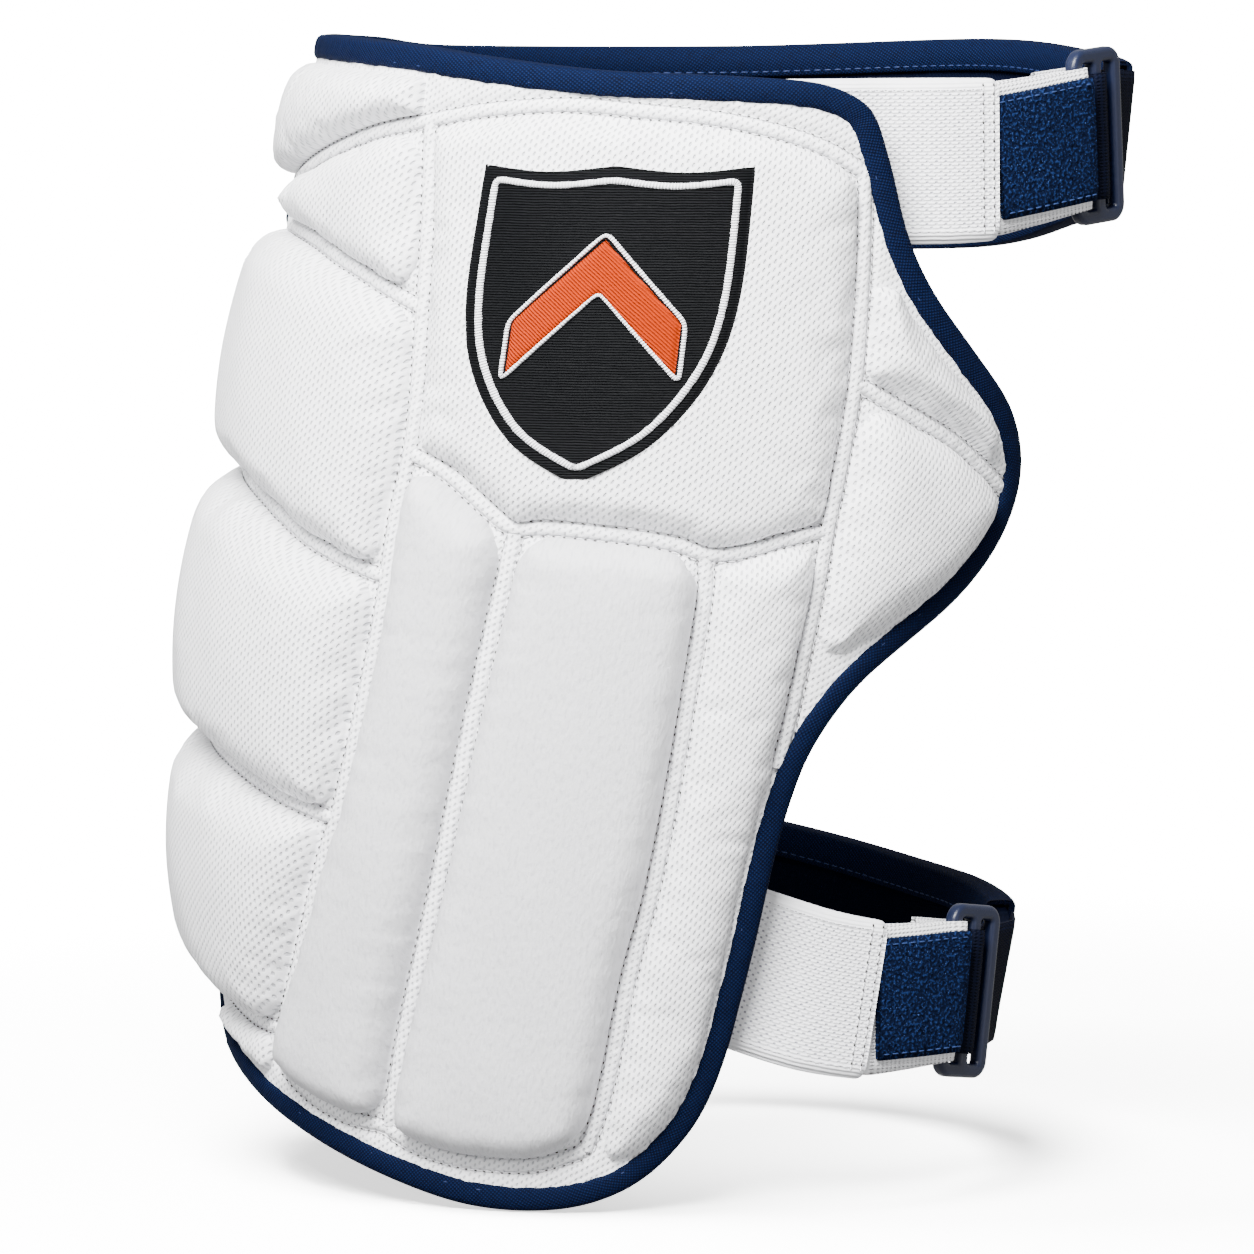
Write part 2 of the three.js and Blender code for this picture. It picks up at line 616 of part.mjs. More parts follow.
// One layer of the shell between two offsets from the thigh form.
function shellGeometry(innerOffset, outerOffset) {
  const sides = drawnIn(shellSides, tapeSeat, 0);
  const { below, above } = shellRows;
  return sheetGeometry(shellColumns, below + above, (side, i, j) => {
    const v = j < below
      ? (notchShare * j) / (below - 1)
      : notchShare + ((1 - notchShare) * (j - below + 1)) / above;
    const pattern = blended(sides, i / (shellColumns - 1), v);
    return onForm(pattern, side ? outerOffset : innerOffset);
  });
}

// Indices into a path that lie a step apart, and closer where the path bends.
function tapeStations(path, step) {
  const bendAt = (i) => {
    const arriving = path[i].clone().sub(path[i - 1]);
    const leaving = path[i + 1].clone().sub(path[i]);
    return Math.abs(Math.atan2(arriving.cross(leaving), arriving.dot(leaving)));
  };
  const stations = [0];
  let length = 0;
  let bend = 0;
  for (let i = 1; i < path.length - 1; i++) {
    length += path[i].distanceTo(path[i - 1]);
    bend += bendAt(i);
    if (length >= step || bend >= sharpestBend * degrees) {
      stations.push(i);
      length = 0;
      bend = 0;
    }
  }
  return [...stations, path.length - 1];
}

// Tape folded round an edge. The path holds the edge's outermost points in the pattern, with the
// inside on its left, and faces gives the offsets of the two faces that the tape covers.
function tapeGeometry(path, insideWidth, step, faces) {
  const rings = [];
  const stations = tapeStations(path, step);
  for (const i of stations) {
    const point = path[i];
    const ahead = path[Math.min(i + 1, path.length - 1)];
    const behind = path[Math.max(i - 1, 0)];
    const inward = new THREE.Vector2(behind.y - ahead.y, ahead.x - behind.x).normalize();
    const { inner, outer } = faces(point);
    const [low, high] = [inner - clearance - facetAllowance, outer + clearance + facetAllowance];
    const section = [
      [tapeWidth, high + tapeThickness], [0, high + tapeThickness],
      [0, low - tapeThickness], [insideWidth, low - tapeThickness],
      [insideWidth, low], [tapeThickness, low], [tapeThickness, high], [tapeWidth, high],
    ];
    rings.push(section.map(([depth, offset]) =>
      onForm(point.clone().addScaledVector(inward, depth), offset)));
  }
  return loftGeometry(rings);
}

const armInner = (rows) => (pattern) => {
  const turn = pattern.x / patternRadius / degrees;
  return slideStandOff * columnAt(rows, "turn", "offset", turn);
};

// The core of an arm, between its top and bottom rows and inside its tape.
function armGeometry(rows) {
  const innerAt = armInner(rows);
  const turns = rows[0].turn - rows.at(-1).turn;
  const columns = Math.round((turns * degrees * patternRadius) / armStep) + 1;
  return sheetGeometry(columns, 2, (side, i, j) => {
    const turn = rows.at(-1).turn + (turns * i) / (columns - 1);
    const inset = tapeSeat / guardHeight;
    const height = j
      ? columnAt(rows, "turn", "top", turn) - inset
      : columnAt(rows, "turn", "bottom", turn) + inset;
    const pattern = patternPoint([turn, height]);
    return onForm(pattern, innerAt(pattern) + side * shellOuter);
  });
}

function armTapeGeometry(rows, name, [from, to]) {
  const inside = rows.map((row) => row.turn).filter((turn) => turn < from && turn > to);
  const points = [from, ...inside, to].map((turn) => [turn, columnAt(rows, "turn", name, turn)]);
  const path = name === "top" ? run(points) : backwards(run(points));
  const innerAt = armInner(rows);
  return tapeGeometry(path, armTapeInside, armStep, (pattern) => ({
    inner: innerAt(pattern),
    outer: innerAt(pattern) + shellOuter,
  }));
}

// A ribbon through stations that hold its middle, its cross direction and its width.
function ribbonGeometry(stations, thickness) {
  const rings = stations.map(({ point, across, width }, i) => {
    const before = stations[Math.max(i - 1, 0)].point;
    const after = stations[Math.min(i + 1, stations.length - 1)].point;
    const forward = after.clone().sub(before).normalize();
    const normal = new THREE.Vector3().crossVectors(forward, across).normalize();
    return [[-1, 1], [1, 1], [1, -1], [-1, -1]].map(([up, out]) =>
      point.clone()
        .addScaledVector(across, (up * width) / 2)
        .addScaledVector(normal, (out * thickness) / 2));
  });
  return loftGeometry(rings);
}

// A slide's own axes: its width, its height and its outward normal, from its middle.
function slideFrame({ turn, height, lean }) {
  const yaw = slideYawDegrees * degrees;
  const level = new THREE.Vector3(Math.cos(yaw), Math.sin(yaw), 0);
  const upright = new THREE.Vector3(0, 0, 1);
  const tilt = lean * degrees;
  const up = upright.clone().multiplyScalar(Math.cos(tilt)).addScaledVector(level, Math.sin(tilt));
  const along = level.clone().multiplyScalar(Math.cos(tilt)).addScaledVector(upright, -Math.sin(tilt));
  const out = new THREE.Vector3().crossVectors(along, up);
  const middle = onForm(patternPoint([turn, height]), slideStandOff);
  const at = (a, o) => middle.clone().addScaledVector(along, a).addScaledVector(out, o);
  return { along, up, out, middle, at };
}

// A moulded slide: a rounded frame with a bar down its middle.
function slideGeometry(slide) {
  const { along, up, out, middle } = slideFrame(slide);
  const bevel = barThickness / 4;
  const width = 2 * barSpacing + barThickness;
  const height = slideOpening + 2 * barThickness;
  const frame = roundedBox(new THREE.Shape(), 0, width - 2 * bevel, height - 2 * bevel, barThickness);
  const slotWidth = barSpacing - barThickness + 2 * bevel;
  const slotHeight = slideOpening + 2 * bevel;
  for (const side of [-1, 1]) {
    frame.holes.push(roundedBox(new THREE.Path(), (side * barSpacing) / 2, slotWidth, slotHeight, bevel));
  }
  const geometry = new THREE.ExtrudeGeometry(frame, {
    depth: barThickness - 2 * bevel,
    bevelThickness: bevel,
    bevelSize: bevel,
    bevelSegments: 1,
    curveSegments: 2,
  });
  geometry.translate(0, 0, bevel - barThickness / 2);
  return geometry.applyMatrix4(new THREE.Matrix4().makeBasis(along, up, out).setPosition(middle));
}

function roundedBox(path, centre, width, height, radius) {
  const [x, y] = [width / 2 - radius, height / 2 - radius];
  path.absarc(centre + x, y, radius, 0, Math.PI / 2);
  path.absarc(centre - x, y, radius, Math.PI / 2, Math.PI);
  path.absarc(centre - x, -y, radius, Math.PI, 1.5 * Math.PI);
  path.absarc(centre + x, -y, radius, 1.5 * Math.PI, 2 * Math.PI);
  path.closePath();
  return path;
}

// Stations of a front strap between two turns of its table, offset outwards by lift.
function frontStations(rows, from, to, count, lift, width) {
  return Array.from({ length: count + 1 }, (_, i) => {
    const turn = THREE.MathUtils.lerp(from, to, i / count);
    const value = (column) => columnAt(rows, "turn", column, turn);
    const pattern = patternPoint([turn, value("height")]);
    const point = onForm(pattern, value("offset") * slideStandOff + lift);
    const forward = onForm(patternPoint([turn + 1, value("height")]), 0)
      .sub(onForm(patternPoint([turn - 1, value("height")]), 0)).normalize();
    const tilt = value("lean") * degrees;
    const across = new THREE.Vector3(0, 0, Math.cos(tilt)).addScaledVector(forward, Math.sin(tilt));
    return { point, across, width: width * value("width") };
  });
}

// The stations of a wrap round one bar of a slide, from one angle to another. An angle of 0 points
// along the slide's width and 90 points outwards.
function wrapStations(frame, bar, radius, fromDegrees, toDegrees, width) {
  return Array.from({ length: wrapSteps + 1 }, (_, i) => {
    const angle = THREE.MathUtils.lerp(fromDegrees, toDegrees, i / wrapSteps) * degrees;
    const point = frame.at(bar * barSpacing + radius * Math.cos(angle), radius * Math.sin(angle));
    return { point, across: frame.up, width };
  });
}

// The pieces of one front strap: the elastic, the tab that folds round the slide's first bar, and
// the hook and loop patch on the tab.
function frontStrapGeometries(rows, slide) {
  const frame = slideFrame(slide);
  const hem = rows.at(-1).turn;
  const first = rows[0].turn;
  const elastic = frontStations(rows, first, hem, frontSteps, 0, elasticWidth);
  const under = -(elasticThickness + tabThickness) / 2 - clearance;
  const overlapTurn = hem - tabOverlap / patternRadius / degrees;
  const start = frontStations(rows, overlapTurn, hem, 2, under, tabWidth + 3);
  const wrapRadius = barThickness / 2 + barClearance + tabThickness / 2;
  const wrap = wrapStations(frame, -1, wrapRadius, 100, -90, tabWidth);
  const back = endOf(wrap).point.clone().addScaledVector(frame.along, -tabReturn);
  const settle = endOf(start).point.clone().lerp(startOf(wrap).point, 0.5)
    .addScaledVector(frame.out, 0.6);
  const middleAcross = endOf(start).across.clone().add(frame.up).normalize();
  const tab = [
    ...start,
    { point: settle, across: middleAcross, width: tabWidth + 1.5 },
    ...wrap,
    { point: back, across: frame.up, width: tabWidth },
  ];
  const patchLift = (tabThickness + patchThickness) / 2 + clearance;
  const lifted = (station, direction) => ({
    point: station.point.clone().addScaledVector(direction, patchLift),
    across: station.across,
    width: patchWidth,
  });
  const outAtHem = new THREE.Vector3().crossVectors(
    settle.clone().sub(endOf(start).point).normalize(), middleAcross).normalize();
  const patchStart = lifted(endOf(start), outAtHem);
  const gap = settle.clone().sub(endOf(start).point).normalize();
  patchStart.point.addScaledVector(gap, clearance + 0.6);
  const patch = [
    patchStart,
    lifted(tab[start.length], outAtHem),
    lifted(wrap[0], frame.out),
    lifted(wrap[1], wrap[1].point.clone().sub(frame.at(-barSpacing, 0)).normalize()),
  ];
  return {
    elastic: ribbonGeometry(elastic, elasticThickness),
    tab: ribbonGeometry(tab, tabThickness),
    patch: ribbonGeometry(patch, patchThickness),
  };
}

// Webbing that holds an arm's end to the slide's middle bar, sewn to both faces of the arm.
function webGeometry(rows, slide) {
  const frame = slideFrame(slide);
  const last = rows.at(-1);
  const layer = webThickness / 2 + clearance + facetAllowance;
  const returnTurn = last.turn + webReturn / patternRadius / degrees;
  const onArm = (turn, lift) => {
    const [bottom, top] = ["bottom", "top"].map((name) => columnAt(rows, "turn", name, turn));
    const pattern = patternPoint([turn, (bottom + top) / 2]);
    const across = onForm(patternPoint([turn, top]), 0)
      .sub(onForm(patternPoint([turn, bottom]), 0)).normalize();
    return { point: onForm(pattern, armInner(rows)(pattern) + lift), across, width: webWidth };
  };
  const radius = barThickness / 2 + barClearance + webThickness / 2;
  const under = (across, out) => ({ point: frame.at(across, out), across: frame.up, width: webWidth });
  const insideLayer = -radius - webThickness - clearance;
  return ribbonGeometry([
    onArm(returnTurn, -layer),
    onArm(last.turn, -layer),
    under(barSpacing, insideLayer),
    under(barSpacing / 5, insideLayer),
    ...wrapStations(frame, 0, radius, 235, -55, webWidth),
    under(barSpacing, -radius),
    onArm(last.turn, shellOuter + layer),
    onArm(returnTurn, shellOuter + layer),
  ], webThickness);
}

// The emblem: a shield with a light inner line and a chevron, on the flat of the emblem pad.
const emblemCentre = patternPoint([-14, 0.79]);
const emblemSeat = padPlan(pads.emblem_pad).seat + padLip + pads.emblem_pad.height + clearance;
const shieldHalf = [
  [0, 0.5], [0.25, 0.48], [0.5, 0.5], [0.5, 0.1], [0.43, -0.15], [0.25, -0.37], [0, -0.5],
];
const chevronHalf = { rise: 0.26, thickness: 0.17, foot: -0.16 };

function emblemPoint(x, y) {
  return emblemCentre.clone().add(new THREE.Vector2(x * emblemWidth, y * emblemHeight));
}

function emblemGeometries() {
  const corner = shieldHalf.findIndex(([x]) => x === 0.5) + 1;
  const right = shieldHalf.map(([x, y]) => emblemPoint(x, y));
  const left = shieldHalf.map(([x, y]) => emblemPoint(-x, y));
  const top = [...backwards(left.slice(0, corner)), ...right.slice(1, corner)];
  const sideRun = (points) => backwards(new THREE.SplineCurve(points).getSpacedPoints(24));
  const sides = {
    bottom: [endOf(left), endOf(right)],
    right: sideRun(right.slice(corner - 1)),
    top,
    left: sideRun(left.slice(corner - 1)),
  };
  const layer = (shape, columns, rows, seat) =>
    sheetGeometry(columns, rows, (side, i, j) => {
      const pattern = blended(shape, i / (columns - 1), 0.03 + (0.97 * j) / (rows - 1));
      return onForm(pattern, seat + side * threadThickness);
    });
  const nextSeat = emblemSeat + threadThickness + clearance;
  const outer = drawnIn(sides, 3, 1).ring.filter((_, i) => i % 4 === 0);
  const lineRings = outer.map((point, i) => {
    const before = outer[(i + outer.length - 1) % outer.length];
    const after = outer[(i + 1) % outer.length];
    const inward = new THREE.Vector2(before.y - after.y, after.x - before.x).normalize();
    const inner = point.clone().addScaledVector(inward, lineWidth);
    const high = nextSeat + threadThickness;
    return [onForm(point, nextSeat), onForm(point, high), onForm(inner, high), onForm(inner, nextSeat)];
  });
  const { rise, thickness, foot } = chevronHalf;
  const limb = (lift) => [
    emblemPoint(-0.3, foot + lift), emblemPoint(0, foot + rise + lift), emblemPoint(0.3, foot + lift),
  ];
  const chevron = {
    bottom: limb(0),
    top: limb(thickness),
    left: [limb(0)[0], limb(thickness)[0]],
    right: [limb(0)[2], limb(thickness)[2]],
  };
  return {
    emblem_ground: [layer(sides, 7, 9, emblemSeat), black],
    emblem_line: [loftGeometry(lineRings, true), white],
    emblem_chevron: [layer(chevron, 9, 2, nextSeat), orange],
  };
}

function named(name, geometry, look) {
  const mesh = new THREE.Mesh(geometry, new THREE.MeshStandardMaterial({ metalness: 0, ...look }));
  mesh.name = name;
  return mesh;
}

const guard = new THREE.Group();
guard.add(named("lining", shellGeometry(0, liningThickness), darkNavy));
guard.add(named("facing", shellGeometry(liningThickness + clearance, shellOuter), white));
for (const [name, pad] of Object.entries(pads)) guard.add(named(name, padGeometry(pad), pad.look));

const edgePath = joined(
  backwards(run(outline.left)), run(outline.bottom), run(outline.right), backwards(run(outline.top)));
const edgeTape = tapeGeometry(edgePath, tapeWidth, bindingStep, () => ({ inner: 0, outer: shellOuter }));
guard.add(named("edge_binding", edgeTape, navy));

const straps = {
  upper: { arm: upperArmRows, front: upperFrontRows, slide: upperSlide },
  lower: { arm: lowerArmRows, front: lowerFrontRows, slide: lowerSlide },
};
for (const [name, { arm, front, slide }] of Object.entries(straps)) {
  const { elastic, tab, patch } = frontStrapGeometries(front, slide);
  guard.add(named(`${name}_arm`, armGeometry(arm), darkNavy));
  for (const [side, turns] of Object.entries(armBinding[name])) {
    guard.add(named(`${name}_arm_${side}_tape`, armTapeGeometry(arm, side, turns), navy));
  }
  guard.add(named(`${name}_web`, webGeometry(arm, slide), navy));
  guard.add(named(`${name}_slide`, slideGeometry(slide), slideNavy));
  guard.add(named(`${name}_elastic`, elastic, white));
  guard.add(named(`${name}_tab`, tab, white));
  guard.add(named(`${name}_patch`, patch, navy));
}
for (const [name, [geometry, look]] of Object.entries(emblemGeometries())) {
  guard.add(named(name, geometry, look));
}

export default guard;
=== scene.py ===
import json
import math

import bpy
import numpy as np
from mathutils import Matrix, Vector

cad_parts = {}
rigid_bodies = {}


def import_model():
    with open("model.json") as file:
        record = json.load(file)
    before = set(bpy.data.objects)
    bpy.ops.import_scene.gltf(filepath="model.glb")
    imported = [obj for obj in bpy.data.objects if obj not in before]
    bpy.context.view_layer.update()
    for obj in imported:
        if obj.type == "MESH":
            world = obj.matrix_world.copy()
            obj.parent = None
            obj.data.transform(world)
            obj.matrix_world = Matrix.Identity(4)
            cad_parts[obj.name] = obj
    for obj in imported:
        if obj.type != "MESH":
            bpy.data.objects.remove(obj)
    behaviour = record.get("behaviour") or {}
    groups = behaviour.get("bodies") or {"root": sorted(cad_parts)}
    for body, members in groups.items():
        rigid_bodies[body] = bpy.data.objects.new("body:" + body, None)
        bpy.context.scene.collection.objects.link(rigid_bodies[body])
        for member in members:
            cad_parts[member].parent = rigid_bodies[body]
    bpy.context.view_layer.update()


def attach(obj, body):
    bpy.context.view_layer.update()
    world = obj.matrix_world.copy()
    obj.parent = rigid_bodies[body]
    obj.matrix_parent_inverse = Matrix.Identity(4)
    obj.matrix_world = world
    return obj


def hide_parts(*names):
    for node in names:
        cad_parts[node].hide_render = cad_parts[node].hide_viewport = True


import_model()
rng = np.random.default_rng(7)

# Sizes in millimetres, as in the part. Pieces are built in millimetres and scaled when made.
GUARD_HEIGHT = 300.0
ORIGIN_SHARE = 0.49
THIGH_WIDTH = 220.0
THIGH_DEPTH = 180.0
TIGHTEST_ACROSS = 46.0
TIGHTEST_UP = 360.0
LEAN = math.radians(6.7)
PATTERN_RADIUS = (THIGH_WIDTH + THIGH_DEPTH) / 4

CLEARANCE = 0.3
FACET_ALLOWANCE = 0.8
LINING_THICKNESS = 2.2
FACING_THICKNESS = 1.2
SHELL_OUTER = LINING_THICKNESS + CLEARANCE + FACING_THICKNESS
PAD_LIP = 0.8
CHANNEL_WIDTH = 4.0
TAPE_WIDTH = 6.5
TAPE_THICKNESS = 1.2
TAPE_SEAT = TAPE_THICKNESS + CLEARANCE + FACET_ALLOWANCE
ARM_TAPE_INSIDE = 9.0

ELASTIC_WIDTH = 44.0
ELASTIC_THICKNESS = 1.8
TAB_WIDTH = 38.0
TAB_THICKNESS = 1.5
PATCH_WIDTH = 33.0
PATCH_THICKNESS = 1.6
WEB_THICKNESS = 1.2
WEB_WIDTH = 34.0
BAR_CLEARANCE = 0.6
BAR_THICKNESS = 4.0
BAR_SPACING = 8.6
SLIDE_OPENING = 39.5
SLIDE_YAW = math.radians(50)
SLIDE_STAND_OFF = 6.0
TAB_OVERLAP = 12.0
TAB_RETURN = 14.0
WEB_RETURN = 16.0

EMBLEM_WIDTH = 62.0
EMBLEM_HEIGHT = 84.0
THREAD = 0.8
LINE_WIDTH = 1.8

# Sections of the thigh form: height, left, right, front, back.
FORM = np.array([
    [-0.08, 0.84, 0.855, 0.93, 0.855],
    [0.12, 0.95, 0.88, 0.965, 0.89],
    [0.29, 1.05, 0.91, 0.99, 0.91],
    [0.49, 1.09, 0.935, 1.01, 0.945],
    [0.69, 1.06, 0.955, 1.02, 0.965],
    [0.89, 1.02, 0.94, 1.02, 0.99],
    [1.06, 0.99, 0.93, 1.02, 1.0],
])

# Outlines and seams: the turn round the thigh in degrees and the height as a share of the guard's.
NOTCH = (-94, 0.884)
OUTLINE = {
    "bottom": [
        (-100, 0.172), (-92.5, 0.139), (-82, 0.107), (-72.5, 0.088), (-55, 0.054),
        (-33.3, 0.016), (-19.4, -0.002), (-6.4, -0.002), (2.2, 0.013), (7.5, 0.034),
    ],
    "right": [
        (7.5, 0.034), (12.9, 0.076), (15.9, 0.13), (17.3, 0.19), (18.3, 0.242), (19.3, 0.312),
        (20.6, 0.364), (22.9, 0.413), (28.5, 0.465), (36, 0.502), (45.4, 0.543), (52.7, 0.594),
        (54.9, 0.651), (50.6, 0.708), (42, 0.759), (33.4, 0.813), (27.9, 0.865), (24, 0.927),
        (20.2, 0.981),
    ],
    "top": [
        (-94, 1.037), (-75, 1.038), (-51.5, 1.033), (-36, 1.023), (-18, 1.012), (-5, 1.009),
        (8.8, 1.004), (14.4, 0.998), (20.2, 0.981),
    ],
    "left": [
        (-100, 0.172), (-110, 0.23), (-117, 0.3), (-121, 0.4), (-122, 0.52), (-121, 0.64),
        (-117, 0.75), (-110, 0.825), (-102, 0.864), NOTCH,
    ],
}
SEAMS = {
    "topLeft": [(-92, 0.9), (-85, 0.907), (-76, 0.92), (-64.5, 0.939), (-54.5, 0.955), (-44.3, 0.966)],
    "topRight": [
        (-44.3, 0.966), (-34, 0.977), (-22, 0.982), (-12, 0.977), (-1.5, 0.97), (8, 0.957),
        (15, 0.941), (20, 0.922),
    ],
    "sideTop": [(-40.3, 0.8), (-41.2, 0.85), (-42.4, 0.9), (-44.3, 0.966)],
    "sideHigh": [(-38.6, 0.672), (-38.7, 0.71), (-39.3, 0.75), (-40.3, 0.8)],
    "sideMiddle": [(-39.1, 0.56), (-39.2, 0.612), (-38.6, 0.672)],
    "sideLow": [(-43.8, 0.34), (-42, 0.394), (-40.4, 0.455), (-39.4, 0.515), (-39.1, 0.56)],
    "sideFoot": [(-57.5, 0.14), (-52.8, 0.194), (-48.9, 0.248), (-45.4, 0.316), (-43.8, 0.34)],
    "sideEnd": [(-58.3, 0.108), (-57.5, 0.14)],
    "acrossHigh": [
        (-87, 0.864), (-80, 0.865), (-67.6, 0.856), (-59, 0.841), (-51.7, 0.827), (-40.3, 0.8),
    ],
    "acrossMiddle": [
        (-117, 0.65), (-103, 0.648), (-84.4, 0.64), (-71.2, 0.626), (-62.3, 0.608), (-55.4, 0.591),
        (-47.6, 0.575), (-39.1, 0.56),
    ],
    "acrossLow": [
        (-117, 0.424), (-103, 0.412), (-85, 0.396), (-71, 0.382), (-60.3, 0.365), (-52.5, 0.352),
        (-43.8, 0.34),
    ],
    "acrossFoot": [(-91, 0.182), (-84, 0.168), (-73.2, 0.154), (-65, 0.144), (-57.5, 0.14)],
    "emblemLeft": [(-38.6, 0.672), (-32.3, 0.656), (-27.9, 0.636), (-23.8, 0.616), (-21.4, 0.604)],
    "emblemMiddle": [
        (-21.4, 0.604), (-18.9, 0.61), (-12, 0.607), (-5.2, 0.602), (0.3, 0.595), (3.4, 0.585),
    ],
    "emblemRight": [(3.4, 0.585), (9.3, 0.59), (14.7, 0.6), (20.7, 0.607)],
    "barLeft": [
        (-35, 0.066), (-32.9, 0.134), (-30.5, 0.195), (-28.3, 0.253), (-26.5, 0.319), (-24.6, 0.413),
        (-22.8, 0.514), (-21.4, 0.604),
    ],
    "barRight": [
        (-3.6, 0.052), (-1.7, 0.102), (-0.1, 0.212), (1.7, 0.289), (3, 0.392), (3.9, 0.512),
        (4.1, 0.559), (3.4, 0.585),
    ],
    "wingLow": [(18, 0.396), (19.1, 0.453), (20.3, 0.547), (20.7, 0.607)],
    "wingMiddle": [(20.7, 0.607), (21.7, 0.687), (22.2, 0.737)],
    "wingHigh": [(22.2, 0.737), (21.8, 0.796), (21.3, 0.85), (20.5, 0.9), (20, 0.922)],
    "wingAcross": [(22.2, 0.737), (27.6, 0.72), (33.2, 0.702), (39.4, 0.683), (46.5, 0.655), (51.8, 0.634)],
    "hemLeft": [(-58.3, 0.108), (-52.8, 0.088), (-45.6, 0.073), (-40, 0.067), (-35, 0.066)],
    "hemRight": [
        (-35, 0.066), (-33, 0.055), (-24.5, 0.041), (-15.5, 0.037), (-10.3, 0.039), (-3.6, 0.052),
    ],
}

# The straps' arms: turn, bottom, top and the inner face's offset as a share of the slides' stand-off.
ARMS = {
    "upper": np.array([
        [-94.4, 0.894, 1.037, 0], [-115, 0.885, 1.032, 0], [-135, 0.87, 1.022, 0],
        [-180, 0.83, 1.019, 0], [-225, 0.83, 1.028, 0], [-250, 0.857, 1.02, 0.05],
        [-270, 0.882, 1.012, 0.3], [-280, 0.893, 1.005, 0.52],
    ]),
    "lower": np.array([
        [-108, 0.2, 0.37, -1.05], [-124, 0.2, 0.365, -1.05], [-140, 0.19, 0.35, -0.6],
        [-180, 0.14, 0.3, 0], [-225, 0.11, 0.255, 0], [-250, 0.103, 0.242, 0.05],
        [-270, 0.104, 0.234, 0.3], [-280, 0.108, 0.23, 0.52],
    ]),
}
# How far the arms' cloth reaches past its tapes, at the slides and at the shell, in degrees.
ARM_REACH = 1.2
ARM_ROOT = 1.0
ARM_BINDING = {
    "upper": {"top": (-94.4, -269.5), "bottom": (-94.4, -269.5)},
    "lower": {"top": (-122.5, -269.5), "bottom": (-110, -269.5)},
}

# The front straps: turn, height, offset share, width share and lean in degrees.
FRONTS = {
    "upper": np.array([
        [7, 0.931, -0.68, 1, -3], [19, 0.931, -0.84, 1, -3], [25.5, 0.931, -0.84, 1, -3],
        [34.5, 0.931, 0, 1, -3], [42.5, 0.932, 0.7, 0.98, -4],
    ]),
    "lower": np.array([
        [2, 0.242, -0.43, 1, 13], [8, 0.231, -0.68, 1, 13], [14, 0.22, -0.84, 1, 13],
        [20, 0.209, -0.84, 1, 13], [31, 0.189, 0.05, 1, 13], [41, 0.177, 0.8, 0.98, 13],
    ]),
}
SLIDES = {"upper": (66, 0.949, -4), "lower": (64, 0.171, 9)}
ROLL_END = -134

# Where the ground between two seams, or a seam and the edge, gets too narrow for a pad.
FOOT_START = -81
SIDE_START = -87
CORNER_START = -82
WING_TIP = 49
WING_START = 0.475
WING_END = 0.835


def column(table, index, values):
    """One column of a table of rows at the given keys, by a cubic through the rows."""
    keys, entries = table[:, 0], table[:, index]
    if keys[0] > keys[-1]:
        keys, entries = keys[::-1], entries[::-1]
    last = len(keys) - 1
    before, after = np.maximum(np.arange(last + 1) - 1, 0), np.minimum(np.arange(last + 1) + 1, last)
    slopes = (entries[after] - entries[before]) / (keys[after] - keys[before])
    values = np.asarray(values, float)
    i = np.clip(np.searchsorted(keys, values, side="right") - 1, 0, last - 1)
    span = keys[i + 1] - keys[i]
    t = np.clip((values - keys[i]) / span, 0, 1)
    return (
        entries[i] * (2 * t**3 - 3 * t**2 + 1)
        + slopes[i] * span * (t**3 - 2 * t**2 + t)
        + entries[i + 1] * (3 * t**2 - 2 * t**3)
        + slopes[i + 1] * span * (t**3 - t**2)
    )


def pattern(rows):
    """Pattern points in millimetres from rows of a turn in degrees and a height share."""
    rows = np.atleast_2d(np.asarray(rows, float))
    turns = np.radians(rows[:, 0]) * PATTERN_RADIUS
    return np.column_stack([turns, (rows[:, 1] - ORIGIN_SHARE) * GUARD_HEIGHT])


def on_form(points, offset=0.0):
    """The points at an offset outside the thigh form, over pattern points."""
    points = np.asarray(points, float)
    turn = points[..., 0] / PATTERN_RADIUS
    height = points[..., 1] / GUARD_HEIGHT + ORIGIN_SHARE
    left, right, front, back = (column(FORM, k, height) for k in (1, 2, 3, 4))
    across = THIGH_WIDTH / 2 * np.where(np.sin(turn) < 0, left, right)
    along = THIGH_DEPTH / 2 * np.where(np.cos(turn) > 0, front, back)
    normal = np.stack([along * np.sin(turn), -across * np.cos(turn), np.zeros_like(turn)], -1)
    normal /= np.linalg.norm(normal, axis=-1, keepdims=True)
    centre = points[..., 1] * math.tan(LEAN)
    base = np.stack([centre + across * np.sin(turn), -along * np.cos(turn), points[..., 1]], -1)
    return base + normal * np.asarray(offset, float)[..., None]


def lengths(points):
    return np.concatenate([[0], np.cumsum(np.linalg.norm(np.diff(points, axis=0), axis=1))])


def sampled(values, s, at):
    """Rows of values that stand at the lengths s, read off at other lengths."""
    return np.stack([np.interp(at, s, values[:, k]) for k in range(values.shape[1])], -1)

def along(points, shares):
    """The points at shares of a polyline's length."""
    s = lengths(points)
    return sampled(points, s, np.asarray(shares, float) * s[-1])


def curve_through(points, count=60):
    """A smooth curve through points."""
    p = np.array(points, float)
    ends = np.vstack([p[:1], p, p[-1:]])
    t = np.linspace(0, len(p) - 1, count)
    i = np.minimum(t.astype(int), len(p) - 2)
    w = (t - i)[:, None]
    p0, p1, p2, p3 = ends[i], ends[i + 1], ends[i + 2], ends[i + 3]
    v0, v1 = (p2 - p0) / 2, (p3 - p1) / 2
    return (2 * p1 - 2 * p2 + v0 + v1) * w**3 + (-3 * p1 + 3 * p2 - 2 * v0 - v1) * w**2 + v0 * w + p1

def run(rows, step=2.0):
    """A smooth run of pattern points through rows, evenly spaced."""
    dense = curve_through(pattern(rows), (len(rows) - 1) * 40 + 1)
    count = max(4, round(lengths(dense)[-1] / step))
    return along(dense, np.linspace(0, 1, count + 1))


